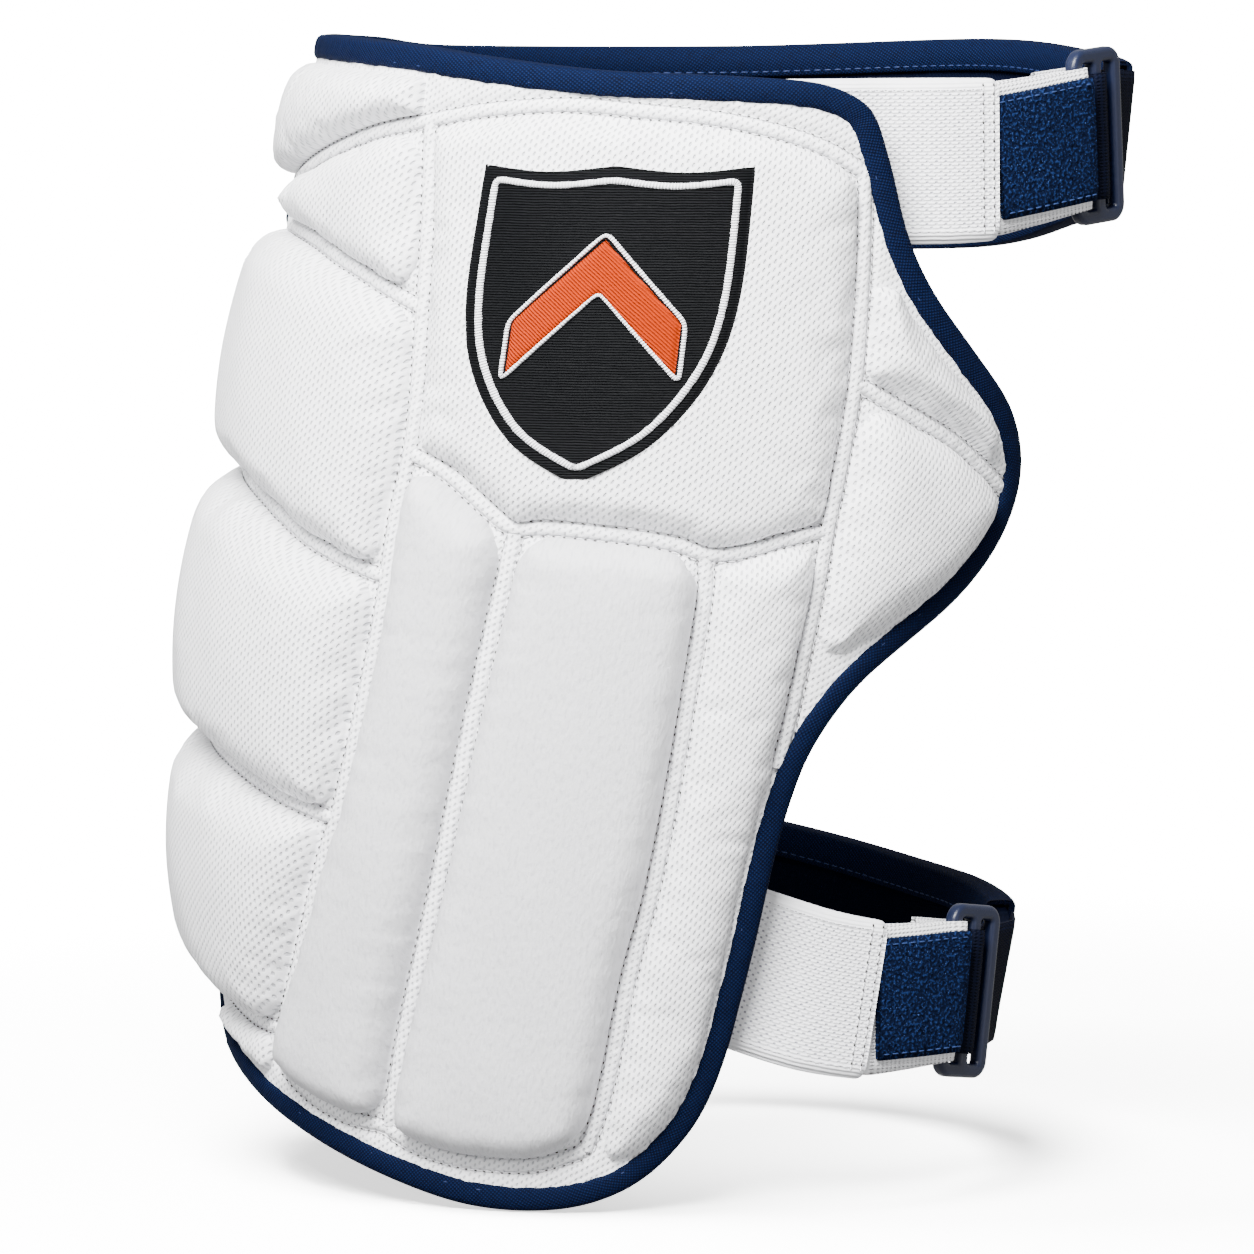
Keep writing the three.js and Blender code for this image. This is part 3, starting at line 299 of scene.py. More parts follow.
def joined(*runs):
    return np.vstack([runs[0]] + [points[1:] for points in runs[1:]])


def unit(v):
    return v / np.maximum(np.linalg.norm(v, axis=-1, keepdims=True), 1e-9)


def drawn_in(sides, distance, easing=2):
    """Four sides drawn in by a distance, with their corners eased."""
    ring, corners = [], []
    for points in (sides["bottom"], sides["right"], sides["top"][::-1], sides["left"][::-1]):
        corners.append(sum(map(len, ring)))
        count = max(2, round(lengths(points)[-1] / 2))
        ring.append(along(points, np.arange(count) / count))
    ring = np.vstack(ring)
    for _ in range(4):
        before, after = np.roll(ring, 1, 0), np.roll(ring, -1, 0)
        ring = ring + unit(np.column_stack([before[:, 1] - after[:, 1], after[:, 0] - before[:, 0]])) * (
            distance / 4)
    for _ in range(easing):
        ring = (2 * ring + np.roll(ring, 1, 0) + np.roll(ring, -1, 0)) / 4
    stops = corners[1:] + [len(ring)]
    bottom, right, top, left = (
        ring[np.arange(a, b + 1) % len(ring)] for a, b in zip(corners, stops))
    return {"bottom": bottom, "right": right, "top": top[::-1], "left": left[::-1], "ring": ring}


def blended(sides, us, vs):
    """A grid of points inside four sides, by a Coons patch."""
    u, v = np.asarray(us)[:, None, None], np.asarray(vs)[None, :, None]
    bottom, top = along(sides["bottom"], us)[:, None], along(sides["top"], us)[:, None]
    left, right = along(sides["left"], vs)[None], along(sides["right"], vs)[None]
    return (
        (1 - v) * bottom + v * top + (1 - u) * left + u * right
        - (1 - u) * (1 - v) * sides["bottom"][0] - u * (1 - v) * sides["bottom"][-1]
        - (1 - u) * v * sides["top"][0] - u * v * sides["top"][-1]
    )


def nearest_on(path, points, closed):
    """For each point, its distance to a path and how far along the path its foot lies."""
    a = path
    b = np.roll(path, -1, 0) if closed else path[1:]
    a = a if closed else path[:-1]
    edge = b - a
    flat = points.reshape(-1, 2)
    start = np.concatenate([[0], np.cumsum(np.linalg.norm(edge, axis=1))])[:-1]
    distances, feet = np.empty(len(flat)), np.empty(len(flat))
    for k in range(0, len(flat), 4000):
        q = flat[k:k + 4000, None]
        share = np.clip(((q - a) * edge).sum(-1) / np.maximum((edge**2).sum(-1), 1e-9), 0, 1)
        gap = np.linalg.norm(q - (a + share[..., None] * edge), axis=-1)
        best = gap.argmin(1)
        rows = np.arange(len(best))
        distances[k:k + 4000] = gap[rows, best]
        feet[k:k + 4000] = start[best] + share[rows, best] * np.linalg.norm(edge[best], axis=1)
    return distances.reshape(points.shape[:-1]), feet.reshape(points.shape[:-1])


def waves(s, longest, shortest, count=7):
    """A smooth random curve over s, between about -1 and 1."""
    total = np.zeros_like(s)
    for size in np.geomspace(longest, shortest, count):
        total += np.sin(2 * math.pi * s / (size * rng.uniform(0.85, 1.15)) + rng.uniform(0, 6.3))
    return total / math.sqrt(count)



# The colour sockets of a mix node: the two that go in, and the one that comes out.
FIRST_COLOUR, SECOND_COLOUR, MIXED_COLOUR = 6, 7, 2

class Shader:
    """A procedural material with one principled shader, built node by node."""

    def __init__(self, name, colour, roughness, specular=0.3):
        self.material = bpy.data.materials.new(name)
        self.material.use_nodes = True
        self.tree = self.material.node_tree
        self.shader = self.tree.nodes["Principled BSDF"]
        self.colour = colour
        self.shader.inputs["Base Color"].default_value = (*colour, 1)
        self.shader.inputs["Roughness"].default_value = roughness
        self.shader.inputs["Specular IOR Level"].default_value = specular
        self.uv = self.node("ShaderNodeTexCoord").outputs["UV"]
        self.last_bump = None
        self.tint = None

    def node(self, kind, inputs=None, **settings):
        node = self.tree.nodes.new(kind)
        for key, value in settings.items():
            setattr(node, key, value)
        for key, value in (inputs or {}).items():
            if isinstance(value, bpy.types.NodeSocket):
                self.tree.links.new(value, node.inputs[key])
            else:
                node.inputs[key].default_value = value
        return node

    def math(self, operation, *values):
        return self.node("ShaderNodeMath", dict(enumerate(values)), operation=operation).outputs[0]

    def smooth(self, value, low, high):
        node = self.node(
            "ShaderNodeMapRange", {"Value": value, "From Min": low, "From Max": high},
            interpolation_type="SMOOTHSTEP")
        return node.outputs["Result"]

    def noise(self, scale, detail=2.0, stretch=(1, 1, 1)):
        mapped = self.node("ShaderNodeMapping", {"Vector": self.uv, "Scale": stretch})
        node = self.node(
            "ShaderNodeTexNoise",
            {"Vector": mapped.outputs[0], "Scale": scale, "Detail": detail})
        return node.outputs["Fac"]

    def turned(self, degrees, warp, warp_scale):
        """The u and v of the cloth turned by an angle, with a slight waviness in metres."""
        wave = self.node("ShaderNodeTexNoise", {"Vector": self.uv, "Scale": warp_scale})
        shift = self.node(
            "ShaderNodeVectorMath", {0: wave.outputs["Color"], 1: (0.5, 0.5, 0.5)},
            operation="SUBTRACT")
        sized = self.node(
            "ShaderNodeVectorMath", {0: shift.outputs[0], "Scale": warp}, operation="SCALE")
        vector = self.node(
            "ShaderNodeVectorMath", {0: self.uv, 1: sized.outputs[0]}, operation="ADD").outputs[0]
        mapped = self.node(
            "ShaderNodeMapping", {"Vector": vector, "Rotation": (0, 0, math.radians(degrees))})
        split = self.node("ShaderNodeSeparateXYZ", {0: mapped.outputs[0]})
        return split.outputs[0], split.outputs[1]

    def ripple(self, value, size):
        """A wave between -1 and 1 that repeats after a size in metres."""
        return self.math("COSINE", self.math("MULTIPLY", value, 2 * math.pi / size))

    def lattice(self, u, v, pitch, row):
        """Staggered dots: 1 at their middles, a pitch apart in rows that lie a row apart."""
        return self.math("MULTIPLY", self.ripple(u, pitch), self.ripple(v, 2 * row))

    def bump(self, height, metres):
        inputs = {"Height": height, "Distance": metres, "Strength": 1.0}
        if self.last_bump:
            inputs["Normal"] = self.last_bump
        self.last_bump = self.node("ShaderNodeBump", inputs).outputs["Normal"]
        self.tree.links.new(self.last_bump, self.shader.inputs["Normal"])

    def shade(self, mask, other):
        """Mixes another colour over the last one where the mask is 1."""
        source = self.tint or (*self.colour, 1)
        mix = self.node("ShaderNodeMix", {"Factor": mask}, data_type="RGBA")
        if isinstance(source, bpy.types.NodeSocket):
            self.tree.links.new(source, mix.inputs[FIRST_COLOUR])
        else:
            mix.inputs[FIRST_COLOUR].default_value = source
        mix.inputs[SECOND_COLOUR].default_value = (*other, 1)
        self.tint = mix.outputs[MIXED_COLOUR]
        self.tree.links.new(self.tint, self.shader.inputs["Base Color"])


# Colours as linear values.
WHITE = (0.80, 0.80, 0.815)
# Painted shade for the sports mesh's hollows.
HOLLOW_SHADE = (0.47, 0.475, 0.50)
NAVY = (0.0011, 0.0026, 0.0115)
# Painted highlight for the tape's raised twill knots.
RIDGE_HIGHLIGHT_NAVY = (0.0045, 0.0125, 0.052)
DARK_NAVY = (0.0011, 0.0020, 0.0076)


def mesh_cloth(name, angle, column=0.00125, drop=0.0022, depth=0.0003):
    """White sports mesh: upright hollows in slanted rows, with low ridges between the rows.

    The hollows stand in columns, and each column's are a step higher than the last one's,
    so that the rows climb to the right by an angle.
    """
    m = Shader(name, WHITE, 0.7, specular=0.15)
    u, v = m.turned(0, warp=0.0010, warp_scale=45)
    climb = m.math("SUBTRACT", v, m.math("MULTIPLY", u, math.tan(math.radians(angle))))
    rows = m.ripple(climb, drop)
    hollow = m.smooth(m.math("ADD", m.ripple(u, column), rows), 0.6, 1.7)
    # Painted shade: the hollows are painted darker, where shade falls in the recesses.
    m.shade(m.math("MULTIPLY", hollow, m.smooth(m.noise(260), 0.1, 0.6)), HOLLOW_SHADE)
    m.bump(m.math("MULTIPLY", hollow, -1.0), depth)
    m.bump(rows, -0.00003)
    m.bump(m.noise(1500, 2, (1, 0.5, 1)), 0.00004)
    m.bump(m.noise(70, 3), 0.0006)
    return m.material


def smooth_cloth(name):
    m = Shader(name, (0.55, 0.55, 0.565), 0.6, specular=0.2)
    m.shade(m.smooth(m.noise(900, 2, (1.5, 0.5, 1)), 0.45, 0.75), (0.46, 0.46, 0.48))
    m.bump(m.noise(760, 3, (1.5, 0.5, 1)), 0.0003)
    m.bump(m.noise(1700, 2), 0.00005)
    m.bump(m.noise(60, 3), 0.0005)
    return m.material


def tape_cloth(name):
    """Navy twill tape."""
    m = Shader(name, NAVY, 0.75, specular=0.03)
    u, v = m.turned(14, warp=0.0004, warp_scale=150)
    knots = m.lattice(u, v, 0.0011, 0.00055)
    m.shade(m.smooth(m.noise(420, 3), 0.45, 0.75), DARK_NAVY)
    # Painted highlight: the raised knots of the twill are painted lighter.
    m.shade(m.math("MULTIPLY", m.smooth(knots, 0.1, 0.9), 0.75), RIDGE_HIGHLIGHT_NAVY)
    m.bump(knots, 0.0001)
    m.bump(m.noise(1300, 2), 0.00009)
    m.bump(m.noise(90, 2), 0.0004)
    return m.material


def lining_cloth(name):
    m = Shader(name, DARK_NAVY, 0.85, specular=0.02)
    u, v = m.turned(0, warp=0.0003, warp_scale=200)
    knit = m.lattice(u, v, 0.0011, 0.0007)
    m.shade(m.smooth(m.noise(900, 2), 0.55, 0.8), (0.0035, 0.0055, 0.014))
    m.bump(knit, 0.00012)
    m.bump(m.noise(60, 3), 0.0006)
    return m.material


def elastic_cloth(name, half_width):
    """White elastic: a rice-grain weave between smooth ribbed selvedges."""
    m = Shader(name, (0.80, 0.80, 0.825), 0.7, specular=0.15)
    u, v = m.turned(0, warp=0.00025, warp_scale=260)
    middle = m.smooth(m.math("ABSOLUTE", v), half_width - 0.0030, half_width - 0.0038)
    grain = m.lattice(u, v, 0.0025, 0.00095)
    hollow = m.math("MULTIPLY", m.smooth(grain, 0.25, 0.95), middle)
    # Painted shade: the hollows of the grain are painted darker, where shade falls between the grains.
    m.shade(m.math("MULTIPLY", hollow, m.smooth(m.noise(500), 0.2, 0.6)), (0.25, 0.25, 0.29))
    m.bump(hollow, -0.00035)
    m.bump(m.ripple(v, 0.00095), 0.00008)
    m.bump(m.noise(1400, 2, (0.4, 1.4, 1)), 0.00007)
    m.bump(m.noise(80, 2), 0.0003)
    return m.material


def webbing_cloth(name, colour, light):
    m = Shader(name, colour, 0.7, specular=0.05)
    u, v = m.turned(0, warp=0.0002, warp_scale=300)
    ribs = m.ripple(v, 0.0009)
    m.shade(m.smooth(m.noise(800, 2, (0.4, 1.5, 1)), 0.5, 0.8), light)
    m.bump(m.math("MULTIPLY", ribs, m.ripple(u, 0.0014)), 0.00012)
    m.bump(ribs, 0.0001)
    return m.material


def loop_cloth(name):
    """Navy loop pile, painted lighter where the pile stands high (painted light), with bright speckles that
    are painted glints.
    """
    m = Shader(name, (0.0020, 0.0042, 0.0150), 0.85, specular=0.02)
    pile = m.noise(1100, 2)
    # Painted light: the pile is painted lighter where it stands high.
    m.shade(m.smooth(pile, 0.50, 0.64), (0.0085, 0.0200, 0.072))
    # Painted glints: bright speckles on the loops.
    m.shade(m.smooth(m.noise(1500, 1), 0.66, 0.76), (0.035, 0.070, 0.19))
    m.shade(m.smooth(m.noise(800, 2), 0.56, 0.70), (0.0006, 0.0011, 0.0045))
    m.bump(pile, 0.0007)
    return m.material


def plastic(name):
    m = Shader(name, (0.0032, 0.0062, 0.0220), 0.34, specular=0.35)
    m.bump(m.noise(900, 2), 0.00002)
    return m.material


def thread(name, colour, angle=0.0, size=0.0007):
    """Satin embroidery: fine parallel threads."""
    m = Shader(name, colour, 0.55, specular=0.05)
    u, v = m.turned(angle, warp=0.0004, warp_scale=200)
    strands = m.ripple(v, size)
    # Painted shade: the grooves between the strands are painted darker.
    groove_shade = tuple(c * 0.6 for c in colour)
    m.shade(m.smooth(strands, 0.0, -1.0), groove_shade)
    m.bump(strands, 0.00014)
    m.bump(m.noise(900, 2, (0.3, 1.5, 1)), 0.00012)
    return m.material


def plain(name, colour, roughness=0.6):
    m = Shader(name, colour, roughness)
    m.bump(m.noise(1500, 2), 0.00004)
    return m.material


MATERIALS = {
    "side_mesh": mesh_cloth("side_mesh", 42),
    "wing_mesh": mesh_cloth("wing_mesh", 50, 0.00115, 0.0023),
    "welt_mesh": mesh_cloth("welt_mesh", 30, 0.0013, 0.0019, 0.00022),
    "smooth": smooth_cloth("smooth_cloth"),
    "tape": tape_cloth("navy_tape"),
    "lining": lining_cloth("navy_lining"),
    "elastic": elastic_cloth("white_elastic", ELASTIC_WIDTH / 2000),
    "white_web": webbing_cloth("white_webbing", (0.76, 0.76, 0.78), (0.6, 0.605, 0.63)),
    "navy_web": webbing_cloth("navy_webbing", DARK_NAVY, NAVY),
    "loop": loop_cloth("navy_loop"),
    "slide": plastic("navy_plastic"),
    "black": thread("black_thread", (0.0022, 0.0024, 0.0030), 0),
    "white": thread("white_thread", (0.80, 0.80, 0.83), 90),
    "orange": thread("orange_thread", (0.28, 0.021, 0.0001), 45),
    "stitch": plain("white_stitch", (0.66, 0.66, 0.68)),
    # Painted shade: dark beads set between the stitches stand for the shade in the needle holes.
    "hole_shade": plain("stitch_hole_shade", (0.045, 0.042, 0.042)),
    "pale_hole_shade": plain("pale_hole_shade", (0.22, 0.22, 0.24)),
    "tape_stitch": plain("navy_stitch", (0.006, 0.016, 0.065)),
    "pale_stitch": plain("pale_stitch", (0.012, 0.030, 0.105)),
}


def placed(name, data):
    """A new object of some data, linked to the scene."""
    item = bpy.data.objects.new(name, data)
    bpy.context.scene.collection.objects.link(item)
    return item

def make(name, points, faces, uvs, materials, indices=None, slot=None, replaces=()):
    """A smooth mesh object in metres from points in millimetres, with uvs for each face corner."""
    mesh = bpy.data.meshes.new(name)
    mesh.from_pydata((np.asarray(points) / 1000).tolist(), [], [list(map(int, f)) for f in faces])
    layer = mesh.uv_layers.new(name="UVMap")
    layer.uv.foreach_set("vector", np.asarray(uvs, np.float32).ravel())
    for material in materials:
        mesh.materials.append(MATERIALS[material])
    if indices is not None:
        mesh.polygons.foreach_set("material_index", np.asarray(indices, np.int32))
    mesh.polygons.foreach_set("use_smooth", np.ones(len(mesh.polygons), bool))
    corners = np.asarray(points)
    fans = [(f[0], f[k], f[k + 1]) for f in faces for k in range(1, len(f) - 1)]
    fans = corners[np.array(fans)]
    volume = np.einsum("ij,ij->i", fans[:, 0], np.cross(fans[:, 1], fans[:, 2])).sum()
    if volume < 0:
        mesh.flip_normals()
    mesh.update()
    piece = placed(name, mesh)
    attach(piece, "root")
    if replaces:
        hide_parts(*replaces)
    return piece


def sheet_piece(name, inner, outer, plan, materials, **declared):
    """A closed sheet between two grids of points over one flat plan, in millimetres."""
    nu, nv = plan.shape[:2]
    index = np.arange(nu * nv).reshape(nu, nv)
    a, b, c, d = index[:-1, :-1], index[1:, :-1], index[1:, 1:], index[:-1, 1:]
    quads = np.stack([a, b, c, d], -1).reshape(-1, 4)
    size = nu * nv
    rim = np.concatenate([index[:, 0], index[-1, 1:], index[-2::-1, -1], index[0, -2:0:-1]])
    after = np.roll(rim, -1)
    skirt = np.column_stack([rim, rim + size, after + size, after])
    faces = np.vstack([quads + size, quads[:, ::-1], skirt])
    uv = np.vstack([plan.reshape(-1, 2)] * 2) / 1000
    sides = np.concatenate([np.zeros(len(quads)), np.full(len(quads), len(materials) - 1),
                            np.full(len(skirt), len(materials) - 1)])
    points = np.vstack([inner.reshape(-1, 3), outer.reshape(-1, 3)])
    return make(name, points, faces, uv[faces.ravel()], materials, sides, **declared)


def loft_piece(name, rings, us, vs, material, caps=True, closed=False, **declared):
    """A loft through rings of points. us gives u for each ring and vs gives v for each ring point."""
    n, m = rings.shape[:2]
    i = np.arange(n if closed else n - 1)[:, None]
    j = np.arange(m)[None]
    following, beside = (i + 1) % n, (j + 1) % m
    faces = np.stack([i * m + j, following * m + j, following * m + beside, i * m + beside], -1)
    faces = faces.reshape(-1, 4)
    if np.ndim(vs) == 1:
        vs = np.repeat(np.asarray(vs)[None], n, 0)
    flat_u, flat_v = np.repeat(np.asarray(us), m), vs.ravel()
    uvs = np.stack([flat_u[faces], flat_v[faces]], -1) / 1000
    faces, uvs = faces.tolist(), uvs.reshape(-1, 2).tolist()
    if caps and not closed:
        for row, order in ((0, range(m - 1, -1, -1)), (n - 1, range(m))):
            cap = [row * m + k for k in order]
            faces.append(cap)
            uvs += [[flat_u[k] / 1000, flat_v[k] / 1000] for k in cap]
    return make(name, rings.reshape(-1, 3), faces, uvs, [material], **declared)


# Shell outlines and pad plans
def butt(height):
    return pattern([(NOTCH[0], height)])[0] + np.array([1 - TAPE_SEAT, 0])


butt_corner = butt(NOTCH[1] - 0.014)
shell_sides = {
    "bottom": run(OUTLINE["bottom"]),
    "right": run(OUTLINE["right"]),
    "top": np.vstack([butt(OUTLINE["top"][0][1]), run(OUTLINE["top"])]),
    "left": np.vstack([run(OUTLINE["left"][:-1]), butt_corner, butt(OUTLINE["top"][0][1])]),
}
tape_line = drawn_in(shell_sides, TAPE_WIDTH + CLEARANCE + FACET_ALLOWANCE - CHANNEL_WIDTH / 2)["ring"]
seam = {name: run(rows) for name, rows in SEAMS.items()}


def edge_run(start, end):
    a, b = (int(np.linalg.norm(tape_line - p, axis=1).argmin()) for p in (start, end))
    total = len(tape_line)
    ahead = (b - a) % total
    count = min(ahead, total - ahead)
    step = 1 if ahead == count else -1
    return tape_line[(a + step * np.arange(count + 1)) % total]


def spot(turn, height):
    return pattern([(turn, height)])[0]


def part_of(points, turns=(-360, 360), heights=(-1, 2)):
    """The points of a run between two turns and two heights."""
    low, high = spot(turns[0], heights[0]), spot(turns[1], heights[1])
    return points[((points >= low) & (points <= high)).all(1)]


edge = {
    "upperSide": edge_run(seam["acrossMiddle"][0], seam["acrossHigh"][0]),
    "middleSide": edge_run(seam["acrossLow"][0], seam["acrossMiddle"][0]),
    "lowerSide": edge_run(spot(-94.5, 0.205), seam["acrossLow"][0]),
    "foot": edge_run(spot(FOOT_START, 0.13), spot(-59.3, 0.085)),
    "right": edge_run(spot(-1.5, 0.02), seam["wingLow"][0]),
    "wingLow": edge_run(spot(27.7, WING_START), seam["wingAcross"][-1]),
    "wingHigh": edge_run(spot(50.5, 0.69), spot(28.5, WING_END)),
}

inset = (TAPE_WIDTH + TAPE_SEAT - CHANNEL_WIDTH / 2) / GUARD_HEIGHT
under_roll = [row for row in ARMS["upper"] if row[0] > ROLL_END - 2][::-1]
roll_bottom = np.vstack([pattern([(row[0], row[1] + inset) for row in under_roll]), seam["topLeft"]])
roll_top = np.vstack([pattern([(row[0], row[2] - inset) for row in under_roll]),
                      edge_run(spot(-93, 1.017), spot(SEAMS["topLeft"][-1][0], 1))])
foot_top = part_of(seam["acrossFoot"], turns=(FOOT_START, 360))
corner_top = part_of(seam["topLeft"], turns=(CORNER_START, 360))
corner_low = part_of(seam["acrossHigh"], turns=(CORNER_START, 360))
wing_low = part_of(seam["wingLow"], heights=(WING_START, 2))
wing_high = part_of(seam["wingHigh"], heights=(-1, WING_END))


def between(a, b):
    return np.vstack([a, b])


# Each pad: its four sides, height, rounding, dome and cloth.
PADS = {
    "top_roll": (
        roll_bottom, between(roll_bottom[-1], roll_top[-1]), roll_top,
        between(roll_bottom[0], roll_top[0]), 5.5, 6, 1.5, "side_mesh"),
    "corner_pad": (
        corner_low, seam["sideTop"], corner_top, between(corner_low[0], corner_top[0]), 4.5, 8, 2.5,
        "side_mesh"),
    "emblem_pad": (
        joined(seam["emblemLeft"], seam["emblemMiddle"], seam["emblemRight"]),
        joined(seam["wingMiddle"], seam["wingHigh"]), seam["topRight"],
        joined(seam["sideHigh"], seam["sideTop"]), 4.5, 9, 0, "side_mesh"),
    "side_pad_1": (
        seam["acrossMiddle"], joined(seam["sideMiddle"], seam["sideHigh"]), seam["acrossHigh"],
        edge["upperSide"], 7, 12, 3, "side_mesh"),
    "side_pad_2": (
        seam["acrossLow"], seam["sideLow"], seam["acrossMiddle"], edge["middleSide"], 7, 12, 3,
        "side_mesh"),
    "side_pad_3": (
        part_of(seam["acrossFoot"], turns=(SIDE_START, 360)), seam["sideFoot"], seam["acrossLow"],
        edge["lowerSide"], 7, 12, 3, "side_mesh"),
    "side_foot": (
        edge["foot"], between(edge["foot"][-1], foot_top[-1]), foot_top,
        between(edge["foot"][0], foot_top[0]), 1.8, 5, 0, "side_mesh"),
    "bar_left": (
        seam["hemLeft"], seam["barLeft"], seam["emblemLeft"],
        joined(seam["sideEnd"], seam["sideFoot"], seam["sideLow"], seam["sideMiddle"]), 6, 8, 2,
        "smooth"),
    "bar_centre": (
        seam["hemRight"], seam["barRight"], seam["emblemMiddle"], seam["barLeft"], 7, 8, 1.5, "smooth"),
    "bar_right": (
        between(seam["hemRight"][-1], edge["right"][0]), joined(edge["right"], seam["wingLow"]),
        seam["emblemRight"], seam["barRight"], 5, 8, 2, "wing_mesh"),
    "wing_lower": (
        between(wing_low[0], edge["wingLow"][0]), edge["wingLow"], seam["wingAcross"],
        joined(wing_low, seam["wingMiddle"]), 5, 11, 2.5, "wing_mesh"),
    "wing_upper": (
        part_of(seam["wingAcross"], turns=(-360, WING_TIP)), edge["wingHigh"],
        between(wing_high[-1], edge["wingHigh"][-1]), wing_high, 5, 10, 1.5, "wing_mesh"),
}


# How far the pads' corners are rounded where it isn't 7 mm.
CORNER_RADIUS = {
    "bar_left": 8, "bar_centre": 8, "bar_right": 9, "emblem_pad": 6, "wing_lower": 11, "wing_upper": 4,
    "top_roll": 2.5, "corner_pad": 10}
# How far from their bottom ends the pads thin down to the facing.
TAPERS = {"wing_lower": 30, "bar_right": 16, "side_foot": 4}
# How much of the cloth's own movement each cloth keeps: the bars are moulded and stay smooth.
GIVE = {"smooth": 0.15, "side_mesh": 0.6, "wing_mesh": 0.45}
# The longest cells of the part's own grid, where they differ from (18, 32).
CELLS = {"emblem_pad": (10, 24)}


def cad_shares(length, rounding, longest):
    """The shares at which the part's own coarse grid has lines."""
    e = [d / length for d in (0, 0.15 * rounding, 0.5 * rounding, rounding)]
    if e[3] > 0.45:
        return [0, 0.12, 0.32, 0.5, 0.68, 0.88, 1]
    inner = max(1, round(length * (1 - 2 * e[3]) / longest))
    middle = [e[3] + (1 - 2 * e[3]) * (k + 1) / inner for k in range(inner - 1)]
    return [*e, *middle, *(1 - x for x in e[::-1])]


def fine_shares(length, coarse_step):
    """Shares of a length, closer by its ends, and the same with a share between each two."""
    ends = [0, 0.5, 1.3, 2.6]
    inner = max(2, round((length - 2 * ends[-1]) / coarse_step))
    middle = np.linspace(ends[-1], length - ends[-1], inner + 1)
    coarse = np.concatenate([ends[:-1], middle, [length - e for e in ends[-2::-1]]]) / length
    fine = np.empty(2 * len(coarse) - 1)
    fine[::2] = coarse
    fine[1::2] = (coarse[1:] + coarse[:-1]) / 2
    return fine


def pad_plan(bottom, right, top, left, height, rounding, dome, cell=(18, 32)):
    sides = {"bottom": bottom, "right": right, "top": top, "left": left}
    inner = drawn_in(sides, CHANNEL_WIDTH / 2 + CLEARANCE / 2)
    size = {k: lengths(inner[k])[-1] for k in sides}
    across, up = (size["bottom"] + size["top"]) / 2, (size["left"] + size["right"]) / 2
    widest_across = np.diff(cad_shares(across, rounding, cell[0])).max() * across
    widest_up = np.diff(cad_shares(up, rounding, cell[1])).max() * up
    dips = widest_across**2 / (8 * TIGHTEST_ACROSS) + widest_up**2 / (8 * TIGHTEST_UP)
    return inner, across, up, SHELL_OUTER + CLEARANCE + dips


def cornered(plan, inner, radius):
    """A plan whose corners are drawn in to arcs of about a radius."""
    plan = plan.copy()
    for first, last in (("bottom", "left"), ("bottom", "right"), ("top", "left"), ("top", "right")):
        depths = [nearest_on(inner[k], plan, closed=False)[0] for k in (first, last)]
        a, b = (np.clip(1 - d / radius, 0, 1)[..., None] for d in depths)
        ends = inner[first], inner[last]
        corner = ends[0][-1 if last == "right" else 0]
        inward = []
        for path in ends:
            at_start = np.linalg.norm(path[0] - corner) < np.linalg.norm(path[-1] - corner)
            path = path if at_start else path[::-1]
            inward.append(unit(path[min(len(path) - 1, 6)] - path[0]))
        # A square's corner goes to a disc's: the share a runs away from the first side.
        plan += radius * (a - a * np.sqrt(1 - b**2 / 2)) * inward[1]
        plan += radius * (b - b * np.sqrt(1 - a**2 / 2)) * inward[0]
    return plan


def pad_surface(name):
    """The fine plan of a pad and the offset of its outer surface, in millimetres."""
    *sides, height, rounding, dome, cloth = PADS[name]
    inner, across, up, seat = pad_plan(*sides, height, rounding, dome, CELLS.get(name, (18, 32)))
    plan = blended(inner, fine_shares(across, 3.2), fine_shares(up, 3.2))
    depth, foot = nearest_on(inner["ring"], plan, closed=True)
    plan = cornered(plan, inner, CORNER_RADIUS.get(name, 7))
    deepest = depth.max()
    base = SHELL_OUTER - 0.2
    rim = 1 - np.minimum(depth / rounding, 1)
    rise = (seat + PAD_LIP + height - base) * (1 - rim**2.1) ** (1 / 2.1)
    offset = base + rise + dome * (1 - (1 - depth / deepest) ** 2)
    if name in TAPERS:
        share = np.minimum(nearest_on(inner["bottom"], plan, closed=False)[0] / TAPERS[name], 1)
        offset = base + (offset - base) * (0.3 + 0.7 * share * (2 - share))
    pucker = np.exp(-depth / 4.5) * np.minimum(depth / 1.5, 1)
    offset += pucker * (0.28 * waves(foot, 17, 6) + 0.12 * waves(foot, 6, 3.6, 4))
    offset += 0.22 * np.minimum(depth / 8, 1) * waves(plan[..., 0] + 0.4 * plan[..., 1], 60, 24, 3)
    return plan, offset, cloth


